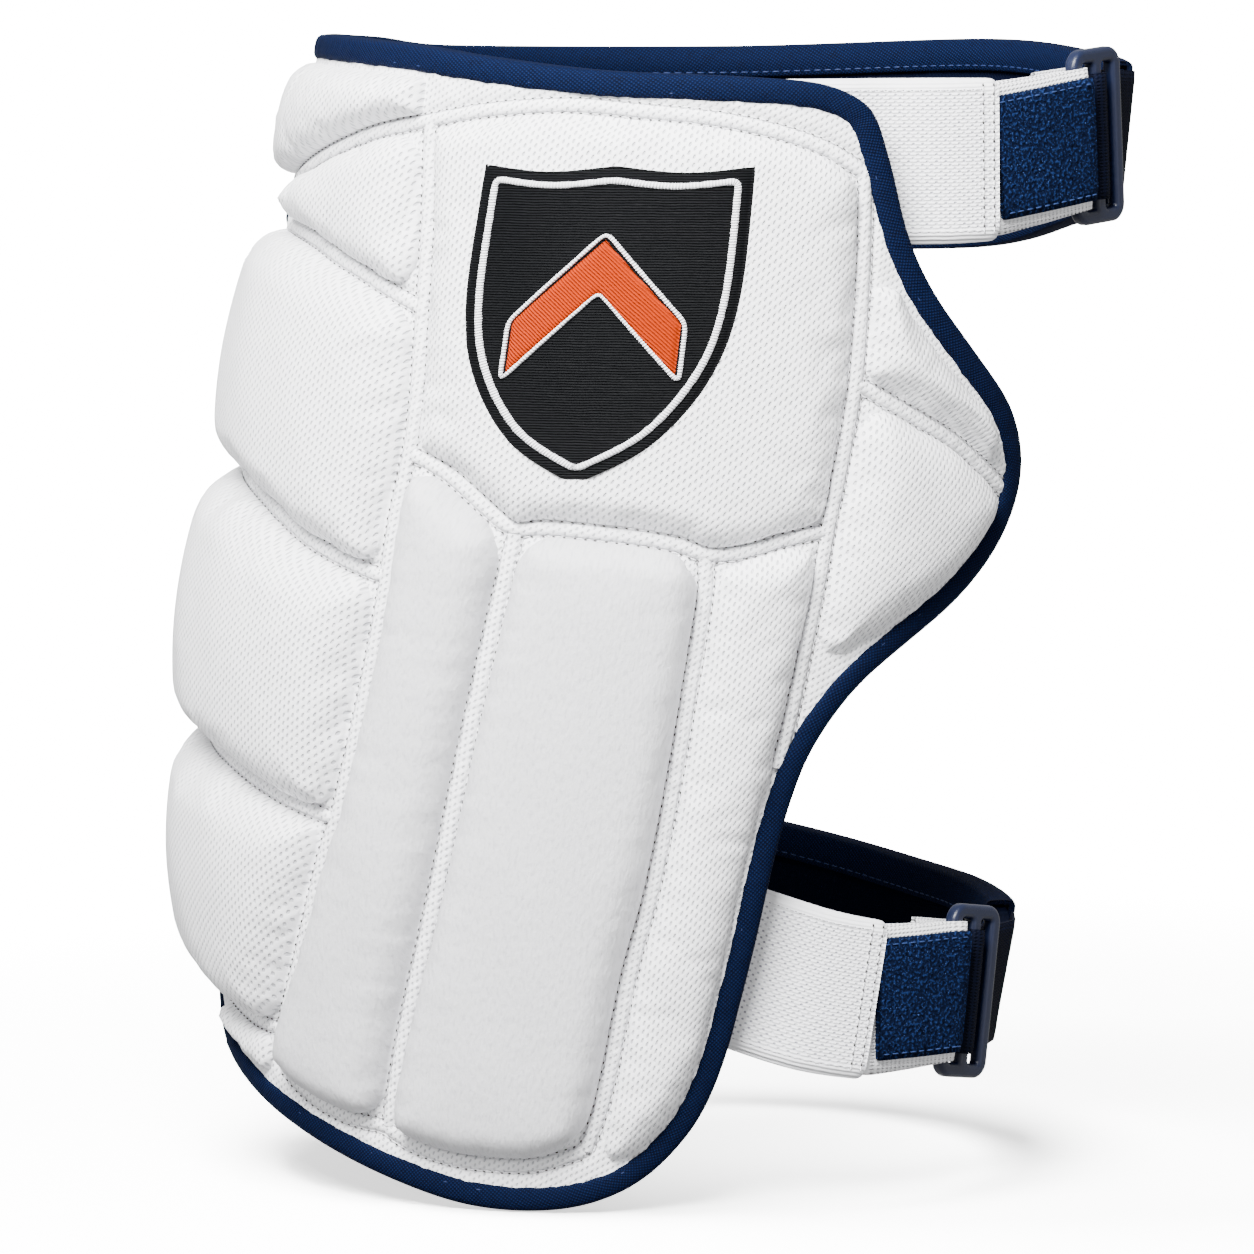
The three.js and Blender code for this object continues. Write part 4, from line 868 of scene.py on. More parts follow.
def inflated(surfaces):
    """The coarse points of each surface after a cloth simulation under pressure, in metres."""
    grids = [(s[::2, ::2] / 1000) for s in surfaces]
    points, faces, pinned, start = [], [], [], 0
    for g in grids:
        nu, nv = g.shape[:2]
        index = start + np.arange(nu * nv).reshape(nu, nv)
        quads = np.stack([index[:-1, :-1], index[1:, :-1], index[1:, 1:], index[:-1, 1:]], -1)
        faces.append(quads.reshape(-1, 4))
        points.append(g.reshape(-1, 3))
        pinned += [index[0], index[-1], index[:, 0], index[:, -1]]
        start += nu * nv
    mesh = bpy.data.meshes.new("blown")
    mesh.from_pydata(np.vstack(points).tolist(), [], np.vstack(faces).tolist())
    blown = placed("blown", mesh)
    group = blown.vertex_groups.new(name="sewn")
    group.add([int(i) for i in np.unique(np.concatenate([p.ravel() for p in pinned]))], 1.0, "REPLACE")
    cloth = blown.modifiers.new("cloth", "CLOTH")
    settings = cloth.settings
    settings.quality = 4
    settings.mass = 0.2
    settings.tension_stiffness = settings.compression_stiffness = 12
    settings.shear_stiffness = 4
    settings.bending_stiffness = 0.6
    settings.use_pressure = True
    settings.uniform_pressure_force = 4
    settings.shrink_min = -0.02
    settings.vertex_group_mass = "sewn"
    settings.effector_weights.gravity = 0
    cloth.collision_settings.use_collision = False
    scene = bpy.context.scene
    for number in range(1, 21):
        scene.frame_set(number)
    settled = blown.evaluated_get(bpy.context.evaluated_depsgraph_get()).to_mesh()
    moved = np.empty(len(settled.vertices) * 3)
    settled.vertices.foreach_get("co", moved)
    blown.evaluated_get(bpy.context.evaluated_depsgraph_get()).to_mesh_clear()
    bpy.data.objects.remove(blown)
    scene.frame_set(1)
    moved = moved.reshape(-1, 3)
    result, start = [], 0
    for g in grids:
        count = g.shape[0] * g.shape[1]
        result.append(moved[start:start + count].reshape(g.shape))
        start += count
    return result


def refined(coarse):
    """A grid with a point between each two of a coarse one."""
    fine = np.empty((2 * coarse.shape[0] - 1, 2 * coarse.shape[1] - 1, coarse.shape[2]))
    fine[::2, ::2] = coarse
    fine[1::2, ::2] = (coarse[1:] + coarse[:-1]) / 2
    fine[:, 1::2] = (fine[:, 2::2] + fine[:, :-2:2]) / 2
    return fine


names = list(PADS)
plans, cloths, shapes = {}, {}, {}
for name in names:
    plans[name], offsets, cloths[name] = pad_surface(name)
    shapes[name] = on_form(plans[name], offsets)
for name, settled in zip(names, inflated([shapes[n] for n in names])):
    shift = settled * 1000 - shapes[name][::2, ::2]
    size = np.linalg.norm(shift, axis=-1, keepdims=True)
    shift *= GIVE[cloths[name]] * np.minimum(1, 2.0 / np.maximum(size, 1e-6))
    shapes[name] = shapes[name] + refined(shift)
for name in names:
    under = on_form(plans[name], SHELL_OUTER + 0.1)
    under[[0, -1]], under[:, [0, -1]] = shapes[name][[0, -1]], shapes[name][:, [0, -1]]
    piece = sheet_piece(
        "pad_" + name, under, shapes[name], plans[name], [cloths[name]],
        slot="pad_smooth" if cloths[name] == "smooth" else "pad_mesh", replaces=[name])


# Shell, welts and stitches
def shell_plan(columns, rows):
    sides = drawn_in(shell_sides, TAPE_SEAT, 0)
    return blended(sides, np.linspace(0, 1, columns), np.linspace(0, 1, rows))


seam_paths = list(seam.values())
shell = shell_plan(200, 200)
near_seam = np.min([nearest_on(path, shell, closed=False)[0] for path in seam_paths], axis=0)
quilt = 1 - np.exp(-near_seam / 7)
between_seams = np.clip((near_seam - 1.9) / 1.6, 0, 1)
between_seams = 1.25 * between_seams**2 * (3 - 2 * between_seams)
lining = sheet_piece(
    "shell_lining", on_form(shell, -0.5 * quilt), on_form(shell, np.full(shell.shape[:2], 2.2)), shell,
    ["lining"], slot="lining", replaces=["lining"])
facing = sheet_piece(
    "shell_facing", on_form(shell, np.full(shell.shape[:2], 2.5)),
    on_form(shell, SHELL_OUTER + between_seams + 0.15 * waves(shell[..., 0] + shell[..., 1], 14, 6)), shell,
    ["welt_mesh"], slot="facing", replaces=["facing"])


def normals_2d(path):
    ahead, behind = np.roll(path, -1, 0), np.roll(path, 1, 0)
    ahead[-1], behind[0] = path[-1], path[0]
    tangent = unit(ahead - behind)
    return np.column_stack([-tangent[:, 1], tangent[:, 0]])


def welt_rings(path, lift):
    """A rounded welt of cloth along a seam, in rings across it."""
    path = along(path, np.linspace(0, 1, max(8, int(lengths(path)[-1] / 0.8))))
    s = lengths(path)
    side = normals_2d(path)
    across = np.linspace(-1, 1, 9)
    half = CHANNEL_WIDTH / 2 - 0.05
    rings = []
    wrinkle = 0.1 * waves(s, 7, 2.6)
    for k in across:
        flat = path + side * (k * half)
        crease = 0.1 * waves(s + 2 * k, 6, 2.4)
        rise = (lift + wrinkle + crease) * math.sqrt(max(0, 1 - k * k))
        rings.append(on_form(flat, SHELL_OUTER - 0.35 + rise))
    low = [on_form(path + side * (k * half), SHELL_OUTER - 0.6) for k in (1, 0, -1)]
    rings = np.stack(rings + low, 1)
    v = np.concatenate([across * half * 1.3, [half, 0, -half]])
    plan = np.stack([path + side * (k * half) for k in (*across, 1, 0, -1)], 1)
    return rings, s, v, plan


welt_runs = {
    "top": joined(seam["topLeft"], seam["topRight"]),
    "side": joined(*(seam[k] for k in ("sideFoot", "sideLow", "sideMiddle", "sideHigh", "sideTop"))),
    "wing": joined(seam["wingLow"], seam["wingMiddle"], seam["wingHigh"]),
    "emblem": joined(seam["emblemLeft"], seam["emblemMiddle"], seam["emblemRight"]),
    **{k: seam[k] for k in (
        "acrossHigh", "acrossMiddle", "acrossLow", "acrossFoot", "barLeft", "barRight", "wingAcross")},
    "hem": joined(seam["hemLeft"], seam["hemRight"]),
}
welt_lift = {"side": 2.1, "wing": 2.0, "emblem": 1.95, "top": 1.9, "hem": 1.5}


def eased_path(path, passes=4):
    path = path.copy()
    for _ in range(passes):
        path[1:-1] = (path[:-2] + 2 * path[1:-1] + path[2:]) / 4
    return path


points, faces, uvs = [], [], []
for name, path in welt_runs.items():
    rings, s, v, plan = welt_rings(eased_path(path), welt_lift.get(name, 1.75))
    n, m = rings.shape[:2]
    i, j = np.arange(n - 1)[:, None], np.arange(m)[None]
    beside = (j + 1) % m
    quads = np.stack([i * m + j, (i + 1) * m + j, (i + 1) * m + beside, i * m + beside], -1).reshape(-1, 4)
    faces.append(quads + sum(map(len, points)))
    uvs.append(plan.reshape(-1, 2)[quads.ravel()] / 1000)
    points.append(rings.reshape(-1, 3))
welts = make(
    "seam_welts", np.vstack(points), np.vstack(faces), np.vstack(uvs), ["welt_mesh"], slot="facing")


def beads(centres, ahead, out, length, width, thickness):
    """Small rounded stitches as arrays: one for each centre, with its length along ahead."""
    centres, ahead = np.asarray(centres), unit(np.asarray(ahead))
    side = unit(np.cross(out, ahead))
    out = np.cross(ahead, side)
    stacks = np.array([-1, -0.72, 0, 0.72, 1])
    radii = np.array([0.25, 0.8, 1, 0.8, 0.25])
    angles = np.arange(6) * math.pi / 3
    pieces = []
    for x, r in zip(stacks, radii):
        for angle in angles:
            pieces.append(
                centres + ahead * (x * length / 2) + side * (math.cos(angle) * r * width / 2)
                + out * (math.sin(angle) * r * thickness / 2))
    points = np.stack(pieces, 1)
    local = []
    for a in range(4):
        for b in range(6):
            c = (b + 1) % 6
            local.append([a * 6 + b, (a + 1) * 6 + b, (a + 1) * 6 + c, a * 6 + c])
    count = points.shape[1]
    for row in (0, count - 6):
        local += [[row, row + 1, row + 2, row + 3], [row, row + 3, row + 4, row + 5]]
    faces = np.array(local)[None] + np.arange(len(centres))[:, None, None] * count
    return points.reshape(-1, 3), faces.reshape(-1, 4)


def bead_piece(name, rows, materials, slot):
    """One joined mesh of stitches. Each row holds its points, faces and material's number."""
    points, faces, indices, start = [], [], [], 0
    for p, f, material in rows:
        points.append(p)
        faces.append(f + start)
        indices.append(np.full(len(f), material))
        start += len(p)
    points, faces = np.vstack(points), np.vstack(faces)
    uv = points[faces.ravel()][:, [0, 2]] / 1000
    return make(name, points, faces, uv, materials, np.concatenate(indices), slot=slot)


def row_on_form(path, offset, pitch, length, width, thickness, phase=0.0, jitter=0.15):
    """Stitches along a flat path at an offset from the thigh form."""
    s = lengths(path)
    at = np.arange(pitch / 2 + phase * pitch, s[-1] - pitch / 3, pitch)
    at = at + rng.uniform(-jitter, jitter, len(at)) * pitch / 2
    middle = sampled(path, s, at)
    offset = np.full(len(at), offset) + rng.uniform(-0.05, 0.05, len(at))
    centre = on_form(middle, offset)
    ahead = on_form(sampled(path, s, at + 0.6), offset) - on_form(sampled(path, s, at - 0.6), offset)
    return beads(centre, ahead, on_form(middle, offset + 1) - centre, length, width, thickness)


rows = []
for name, path in welt_runs.items():
    path = eased_path(path)
    side = normals_2d(path)
    for sign in (-1, 1):
        line = path + side * sign * (CHANNEL_WIDTH / 2 + 0.05)
        rows.append((*row_on_form(line, SHELL_OUTER + 0.5, 2.4, 1.6, 0.45, 0.45), 0))
        # Dark beads between the stitches: painted shade of the needle holes.
        rows.append((*row_on_form(line, SHELL_OUTER + 0.85, 2.4, 0.8, 0.42, 0.5, phase=0.5), 1))
seam_stitches = bead_piece("seam_stitches", rows, ["stitch", "hole_shade"], "facing")

grid = on_form(shell, np.full(shell.shape[:2], 3.1)) / 1000


# Tapes and arms
def tape_rings(path, inside_width, inner, outer):
    """Tape folded round an edge whose outermost points are in path, with the inside on its left."""
    side = normals_2d(path)
    s = lengths(path)
    low, high = inner - CLEARANCE - FACET_ALLOWANCE, outer + CLEARANCE + FACET_ALLOWANCE
    w, i = TAPE_WIDTH, inside_width
    ragged = 0.14 * waves(s, 9, 1.8, 9)
    swell = 0.08 * waves(s, 12, 3)
    middle = (low + high) / 2
    section = [
        (w + ragged, high - 0.4), (w + 0.05 + ragged, high + 0.35), (w - 0.5 + ragged, high + 0.95),
        (w * 0.78, high + 1.3 + swell), (w * 0.5, high + 1.45 + swell), (w * 0.24, high + 1.3 + swell),
        (0.7, high + 0.95), (0.18, high + 0.2), (-0.02, (high + middle) / 2), (-0.06, middle),
        (-0.02, (low + middle) / 2), (0.18, low - 0.2), (0.7, low - 0.95), (i * 0.5, low - 1.3),
        (i - 0.6, low - 1.0), (i, low - 0.4), (i, low), (1.2, low), (1.2, high - 0.4),
    ]
    rings = np.stack([on_form(path + side * np.reshape(d, (-1, 1)), o) for d, o in section], 1)
    profile = np.array([(np.mean(d), np.mean(o)) for d, o in section])
    return rings, s, lengths(profile)


def tape_piece(name, path, inside_width, inner, outer, node):
    rings, s, v = tape_rings(path, inside_width, inner, outer)
    return loft_piece(name, rings, s, v, "tape", slot="binding", replaces=[node])


edge_path = eased_path(joined(
    run(OUTLINE["left"])[::-1], run(OUTLINE["bottom"]), run(OUTLINE["right"]), run(OUTLINE["top"])[::-1]), 8)
zero = np.zeros(len(edge_path))
tape_piece("tape_edge", edge_path, TAPE_WIDTH, zero, zero + SHELL_OUTER, "edge_binding")
rows = []
line = edge_path + normals_2d(edge_path) * (TAPE_WIDTH - 1.5)
rows.append((*row_on_form(line, SHELL_OUTER + 2.15, 3.0, 2.0, 0.42, 0.4), 0))


def arm_inner(table, points):
    turns = np.maximum(np.degrees(points[..., 0] / PATTERN_RADIUS), table[-1, 0])
    return SLIDE_STAND_OFF * column(table, 3, turns)


for name, table in ARMS.items():
    turns = np.linspace(table[-1, 0] - ARM_REACH, table[0, 0] + ARM_ROOT, 190)
    inset = TAPE_SEAT / GUARD_HEIGHT
    low, high = (column(table, k, np.clip(turns, table[-1, 0], table[0, 0])) for k in (1, 2))
    low, high = low + inset, high - inset
    shares = np.linspace(0, 1, 21)
    heights = low[:, None] * (1 - shares) + high[:, None] * shares
    plan = np.stack([
        np.radians(turns)[:, None] * PATTERN_RADIUS + np.zeros((1, 21)),
        (heights - ORIGIN_SHARE) * GUARD_HEIGHT], -1)
    inner = arm_inner(table, plan)
    puff = 0.35 * np.sin(math.pi * shares)[None] + 0.1 * waves(plan[..., 0], 60, 20, 3)
    arm = sheet_piece(
        f"arm_{name}", on_form(plan, inner - puff), on_form(plan, inner + SHELL_OUTER + puff), plan,
        ["welt_mesh", "lining"], slot="lining", replaces=[f"{name}_arm"])
    for border, index in (("top", 2), ("bottom", 1)):
        first, last = ARM_BINDING[name][border]
        stops = [t for t in table[:, 0] if last < t < first]
        path = run([(t, float(column(table, index, t))) for t in (first, *stops, last)])
        path = path if border == "top" else path[::-1]
        inner = arm_inner(table, path)
        tape_piece(
            f"tape_{name}_{border}", path, ARM_TAPE_INSIDE, inner, inner + SHELL_OUTER,
            f"{name}_arm_{border}_tape")
        for depth, lift in ((TAPE_WIDTH - 1.5, SHELL_OUTER + 2.15), (ARM_TAPE_INSIDE - 1.5, -2.15)):
            line = path + normals_2d(path) * depth
            s = lengths(line)
            at = np.arange(2, s[-1] - 2, 3.0)
            middle, behind, before = (sampled(line, s, at + k) for k in (0, -0.5, 0.5))
            lifts = arm_inner(table, middle) + lift
            centre = on_form(middle, lifts)
            ahead = on_form(before, lifts) - on_form(behind, lifts)
            out = on_form(middle, lifts + 1) - centre
            rows.append((*beads(centre, ahead, out, 2.0, 0.42, 0.4), 0))
bead_piece("tape_stitches", rows, ["tape_stitch"], "binding")


# Straps
def ribbon(points, across, widths, step=0.8, passes=6):
    """A smooth ribbon through stations: points, cross directions, widths, normals and lengths."""
    points, across, widths = np.array(points), np.array(across), np.array(widths, float)
    s = lengths(points)
    at = np.linspace(0, s[-1], max(8, int(s[-1] / step)))
    points, across, widths = sampled(points, s, at), sampled(across, s, at), np.interp(at, s, widths)
    for _ in range(passes):
        for values in (points, across):
            values[1:-1] = (values[:-2] + 2 * values[1:-1] + values[2:]) / 4
    ahead = np.gradient(points, axis=0)
    across = unit(across - unit(ahead) * (across * unit(ahead)).sum(-1, keepdims=True))
    normal = unit(np.cross(ahead, across))
    return {"points": points, "across": across, "normal": normal, "widths": widths, "s": lengths(points)}


def ribbon_rings(r, thickness, corner=0.0, both_ends=False, bulge=0.0):
    """Rings round a ribbon with rounded edges. corner rounds the corners of its last end."""
    half = r["widths"] / 2
    if corner:
        left = r["s"][-1] - r["s"]
        if both_ends:
            left = np.minimum(left, r["s"])
        x = np.clip(corner - left, 0, corner)
        half = half - (corner - np.sqrt(corner**2 - x**2))
    t = thickness / 2
    shares = np.linspace(-1, 1, 15)
    section = [(x, 1.0) for x in shares] + [(x, -1.0) for x in shares[::-1]]
    rings, vs = [], []
    for x, side in section:
        flat = x * (half - t * 0.6)
        edge_round = math.sqrt(max(0.0, 1 - max(0.0, abs(x) - 0.86) ** 2 / 0.14**2 * 0.55))
        rise = t * edge_round + bulge * (1 - x * x)
        lip = t * 0.6 * np.sign(x) if abs(x) > 0.99 else 0
        rings.append(r["points"] + r["across"] * (flat + lip)[:, None]
                     + r["normal"] * np.reshape(side * rise, (-1, 1)))
        vs.append(x * half)
    return np.stack(rings, 1), np.stack(vs, 1)


def ribbon_piece(name, r, thickness, material, slot, node, **shape):
    rings, vs = ribbon_rings(r, thickness, **shape)
    return loft_piece(name, rings, r["s"], vs, material, slot=slot, replaces=[node])


def on_ribbon(r, s, v, lift):
    """Points on a ribbon, and the directions along, across and out of it there."""
    middle, across, normal = (sampled(r[key], r["s"], s) for key in ("points", "across", "normal"))
    across, normal = unit(across), unit(normal)
    return middle + across * np.reshape(v, (-1, 1)) + normal * lift, across, normal


def ribbon_stitches(r, start, stop, lift, length=2.0, width=0.5, pitch=3.0, side=1.0):
    """A straight row of stitches on a ribbon between two (length, across) places."""
    start, stop = np.array(start, float), np.array(stop, float)
    count = max(1, int(np.linalg.norm(stop - start) / pitch))
    at = start + (stop - start) * ((np.arange(count) + 0.5) / count)[:, None]
    centre, across, normal = on_ribbon(r, at[:, 0], at[:, 1], lift * side)
    a, _, _ = on_ribbon(r, at[:, 0] + 0.3, at[:, 1], lift * side)
    b, _, _ = on_ribbon(r, at[:, 0] - 0.3, at[:, 1], lift * side)
    turn = unit(stop - start)
    ahead = unit(a - b) * turn[0] + across * turn[1]
    return beads(centre, ahead, normal * side, length, width, 0.45)


class Slide:
    """A slide's own axes, from its middle."""

    def __init__(self, turn, height, lean):
        level = np.array([math.cos(SLIDE_YAW), math.sin(SLIDE_YAW), 0])
        upright = np.array([0, 0, 1.0])
        tilt = math.radians(lean)
        self.up = upright * math.cos(tilt) + level * math.sin(tilt)
        self.along = level * math.cos(tilt) - upright * math.sin(tilt)
        self.out = np.cross(self.along, self.up)
        self.middle = on_form(spot(turn, height), SLIDE_STAND_OFF)

    def at(self, a, o):
        return self.middle + self.along * a + self.out * o

    def wrap(self, bar, radius, start, stop, count=26):
        angles = np.radians(np.linspace(start, stop, count))
        return [self.at(bar * BAR_SPACING + radius * math.cos(a), radius * math.sin(a)) for a in angles]


def front_stations(table, first, last, count, lift):
    turns = np.linspace(first, last, count)
    height, offset, width, lean = (column(table, k, turns) for k in (1, 2, 3, 4))
    ahead, behind = (on_form(pattern(np.column_stack([turns + k, height])), 0) for k in (1, -1))
    points = on_form(pattern(np.column_stack([turns, height])), offset * SLIDE_STAND_OFF + lift)
    forward = unit(ahead - behind)
    tilt = np.radians(lean)[:, None]
    return points, np.array([0, 0, 1.0]) * np.cos(tilt) + forward * np.sin(tilt), width


def rounded_loop(centre, width, height, radius, count=8):
    x, y = width / 2 - radius, height / 2 - radius
    loop = []
    for k, (sx, sy) in enumerate(((1, 1), (-1, 1), (-1, -1), (1, -1))):
        for a in np.linspace(k * 90, k * 90 + 90, count):
            loop.append((centre + sx * x + radius * math.cos(math.radians(a)),
                         sy * y + radius * math.sin(math.radians(a))))
    return loop


def slide_piece(name, slide, node):
    """A moulded slide with two slots and rounded bars."""
    bevel = 1.35
    width, height = 2 * BAR_SPACING + BAR_THICKNESS, SLIDE_OPENING + 2 * BAR_THICKNESS
    loops = [rounded_loop(0, width - 2 * bevel, height - 2 * bevel, 3.6)]
    slot_width = BAR_SPACING - BAR_THICKNESS + 2 * bevel
    for side in (-1, 1):
        loops.append(rounded_loop(
            side * BAR_SPACING / 2, slot_width, SLIDE_OPENING + 2 * bevel, 2.2))
    curve = bpy.data.curves.new(name, "CURVE")
    curve.dimensions = "2D"
    curve.fill_mode = "BOTH"
    curve.extrude = (BAR_THICKNESS / 2 - bevel) / 1000
    curve.bevel_depth = bevel / 1000
    curve.bevel_resolution = 4
    for loop in loops:
        spline = curve.splines.new("POLY")
        spline.points.add(len(loop) - 1)
        for point, (x, y) in zip(spline.points, loop):
            point.co = (x / 1000, y / 1000, 0, 1)
        spline.use_cyclic_u = True
    source = placed(name + "_curve", curve)
    graph = bpy.context.evaluated_depsgraph_get()
    mesh = bpy.data.meshes.new_from_object(source.evaluated_get(graph))
    bpy.data.objects.remove(source)
    axes = np.column_stack([slide.along, slide.up, slide.out])
    basis = Matrix([[*row, 0] for row in axes] + [[0, 0, 0, 1]])
    mesh.transform(Matrix.Translation(Vector(slide.middle / 1000)) @ basis)
    mesh.name = name
    mesh.materials.clear()
    mesh.materials.append(MATERIALS["slide"])
    piece = placed(name, mesh)
    weld = piece.modifiers.new("weld", "WELD")
    weld.merge_threshold = 0.00002
    mesh.polygons.foreach_set("use_smooth", np.ones(len(mesh.polygons), bool))
    weighted = piece.modifiers.new("normals", "WEIGHTED_NORMAL")
    weighted.keep_sharp = True
    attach(piece, "root")
    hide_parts(node)
    return piece


white_rows, navy_rows = [], []
for name, table in FRONTS.items():
    slide = Slide(*SLIDES[name])
    first, hem = table[0, 0], table[-1, 0]
    per_mm = 1 / math.radians(PATTERN_RADIUS)
    points, across, widths = front_stations(table, first, hem, 60, 0)
    elastic = ribbon(points, across, widths * ELASTIC_WIDTH)
    ribbon_piece(f"strap_{name}_elastic", elastic, ELASTIC_THICKNESS, "elastic", "elastic",
                 f"{name}_elastic", corner=3.0)
    end, half = elastic["s"][-1], ELASTIC_WIDTH / 2
    for inset in (1.6, 4.6):
        white_rows.append((*ribbon_stitches(
            elastic, (end - inset, -half + 2), (end - inset, half - 2), 1.0, 1.5, 0.5, 2.5), 0))
        # Dark beads between the stitches: painted shade of the needle holes.
        white_rows.append((*ribbon_stitches(
            elastic, (end - inset, -half + 3.2), (end - inset, half - 0.8), 1.0, 0.8, 0.6, 2.5), 1))
    for sign in (-1, 1):
        white_rows.append((*ribbon_stitches(
            elastic, (2, sign * (half - 3.2)), (end - 5, sign * (half - 3.2)), 0.95, 1.3, 0.4, 2.4), 0))
        # Grey beads between the stitches: painted shade of the needle holes.
        white_rows.append((*ribbon_stitches(
            elastic, (3.2, sign * (half - 3.2)), (end - 3.8, sign * (half - 3.2)), 0.8, 0.7, 0.3, 2.4), 2))

    under = -(ELASTIC_THICKNESS + TAB_THICKNESS) / 2 - CLEARANCE
    points, across, widths = front_stations(table, hem - TAB_OVERLAP * per_mm, hem, 12, under)
    radius = BAR_THICKNESS / 2 + BAR_CLEARANCE + TAB_THICKNESS / 2
    wrap = slide.wrap(-1, radius, 100, -90)
    back = wrap[-1] - slide.along * TAB_RETURN
    settle = (points[-1] + wrap[0]) / 2 + slide.out * 0.6
    middle_across = unit(across[-1] + slide.up)
    tab_points = [*points, settle, *wrap, back]
    tab_across = [*across, middle_across, *[slide.up] * (len(wrap) + 1)]
    tab_widths = [TAB_WIDTH + 3] * len(points) + [TAB_WIDTH + 1.5] + [TAB_WIDTH] * (len(wrap) + 1)
    tab = ribbon(tab_points, tab_across, tab_widths, 0.7, 4)
    ribbon_piece(f"strap_{name}_tab", tab, TAB_THICKNESS, "white_web", "elastic", f"{name}_tab")

    lift = (TAB_THICKNESS + PATCH_THICKNESS) / 2 + CLEARANCE * 0.5
    s_hem = TAB_OVERLAP + 0.9
    s_end = lengths(np.array(tab_points))[len(points) + 5]
    at = np.linspace(s_hem, s_end, 40)
    centre, patch_across, _ = on_ribbon(tab, at, np.zeros(40), lift)
    patch = ribbon(centre, patch_across, np.full(40, PATCH_WIDTH), 0.6, 2)
    ribbon_piece(f"strap_{name}_patch", patch, PATCH_THICKNESS, "loop", "loop_patch", f"{name}_patch",
                 corner=0.6, both_ends=True, bulge=0.1)
    for sign in (-1, 1):
        navy_rows.append((*ribbon_stitches(
            patch, (1, sign * (PATCH_WIDTH / 2 - 1.6)),
            (patch["s"][-1] - 1, sign * (PATCH_WIDTH / 2 - 1.6)), 0.85, 1.9, 0.42, 2.9), 1))

    arm = ARMS[name]
    last = arm[-1, 0]
    layer = WEB_THICKNESS / 2 + CLEARANCE + FACET_ALLOWANCE

    def on_arm(turn, lift):
        bottom, top = (float(column(arm, k, turn)) for k in (1, 2))
        middle = spot(turn, (bottom + top) / 2)
        across = unit(on_form(spot(turn, top)) - on_form(spot(turn, bottom)))
        return on_form(middle, arm_inner(arm, middle) + lift), across

    radius = BAR_THICKNESS / 2 + BAR_CLEARANCE + WEB_THICKNESS / 2
    inside = -radius - WEB_THICKNESS - CLEARANCE
    back_turn = last + WEB_RETURN * per_mm
    stations = [
        on_arm(back_turn, -layer), on_arm(last, -layer),
        (slide.at(BAR_SPACING, inside), slide.up), (slide.at(BAR_SPACING / 5, inside), slide.up),
        *[(p, slide.up) for p in slide.wrap(0, radius, 235, -55)],
        (slide.at(BAR_SPACING, -radius), slide.up),
        on_arm(last, SHELL_OUTER + layer), on_arm(back_turn, SHELL_OUTER + layer),
    ]
    web = ribbon([p for p, _ in stations], [a for _, a in stations], [WEB_WIDTH] * len(stations), 0.7, 3)
    ribbon_piece(f"strap_{name}_web", web, WEB_THICKNESS, "navy_web", "binding", f"{name}_web")
    for s in (3, 8, web["s"][-1] - 3, web["s"][-1] - 8):
        navy_rows.append((*ribbon_stitches(
            web, (s, -WEB_WIDTH / 2 + 2), (s, WEB_WIDTH / 2 - 2), 0.65, 1.7, 0.42, 2.4), 0))
    slide_piece(f"slide_{name}", slide, f"{name}_slide")
bead_piece("strap_stitches", white_rows, ["stitch", "hole_shade", "pale_hole_shade"], "elastic")
bead_piece("strap_navy_stitches", navy_rows, ["tape_stitch", "pale_stitch"], "binding")

# Emblem
emblem_centre = spot(-14, 0.79)
*_, emblem_seat = pad_plan(*PADS["emblem_pad"][:7], CELLS["emblem_pad"])
emblem_seat += PAD_LIP + PADS["emblem_pad"][4] + CLEARANCE
SHIELD_HALF = [(0, 0.5), (0.25, 0.48), (0.5, 0.5), (0.5, 0.1), (0.43, -0.15), (0.25, -0.37), (0, -0.5)]


def emblem_point(x, y):
    return emblem_centre + np.array([x * EMBLEM_WIDTH, y * EMBLEM_HEIGHT])



right = [emblem_point(x, y) for x, y in SHIELD_HALF]
left = [emblem_point(-x, y) for x, y in SHIELD_HALF]
shield = {
    "bottom": between(left[-1], right[-1]),
    "right": curve_through(right[2:])[::-1],
    "top": np.vstack([curve_through(left[:3][::-1], 20), curve_through(right[:3], 20)[1:]]),
    "left": curve_through(left[2:])[::-1],
}


def on_pad(points, lift):
    """Points over the emblem pad's surface as it came out, at a lift above it."""
    flat = plans["emblem_pad"].reshape(-1, 2)
    surface = shapes["emblem_pad"].reshape(-1, 3)
    base = on_form(flat, 0)
    height = np.linalg.norm(surface - base, axis=1)
    q = points.reshape(-1, 2)
    offsets = np.empty(len(q))
    for k in range(0, len(q), 500):
        gap = np.linalg.norm(q[k:k + 500, None] - flat[None], axis=-1)
        near = np.argpartition(gap, 12, axis=1)[:, :12]
        weight = 1 / (np.take_along_axis(gap, near, 1) ** 2 + 0.5)
        offsets[k:k + 500] = (height[near] * weight).sum(1) / weight.sum(1)
    return on_form(points, offsets.reshape(points.shape[:-1]) + lift)


def emblem_layer(name, sides, columns, rows, low, high, material, slot, node, start=0.03):
    us = np.linspace(0, 1, columns)
    plan = blended(sides, us, start + (1 - start) * np.linspace(0, 1, rows))
    rim = np.minimum.outer(np.minimum(us, 1 - us) * columns, np.full(rows, 9.0))
    vs = np.linspace(0, 1, rows)
    rim = np.minimum(rim, (np.minimum(vs, 1 - vs) * rows)[None])
    rounded = np.sqrt(np.clip(rim / 2.0, 0, 1))
    upper = on_pad(plan, low + (high - low) * rounded)
    under = on_pad(plan, np.full(plan.shape[:2], low - 0.3))
    return sheet_piece(name, under, upper, plan, [material], slot=slot, replaces=[node])


emblem_layer("emblem_field", shield, 60, 80, 0.05, THREAD, "black", "thread_black", "emblem_ground")


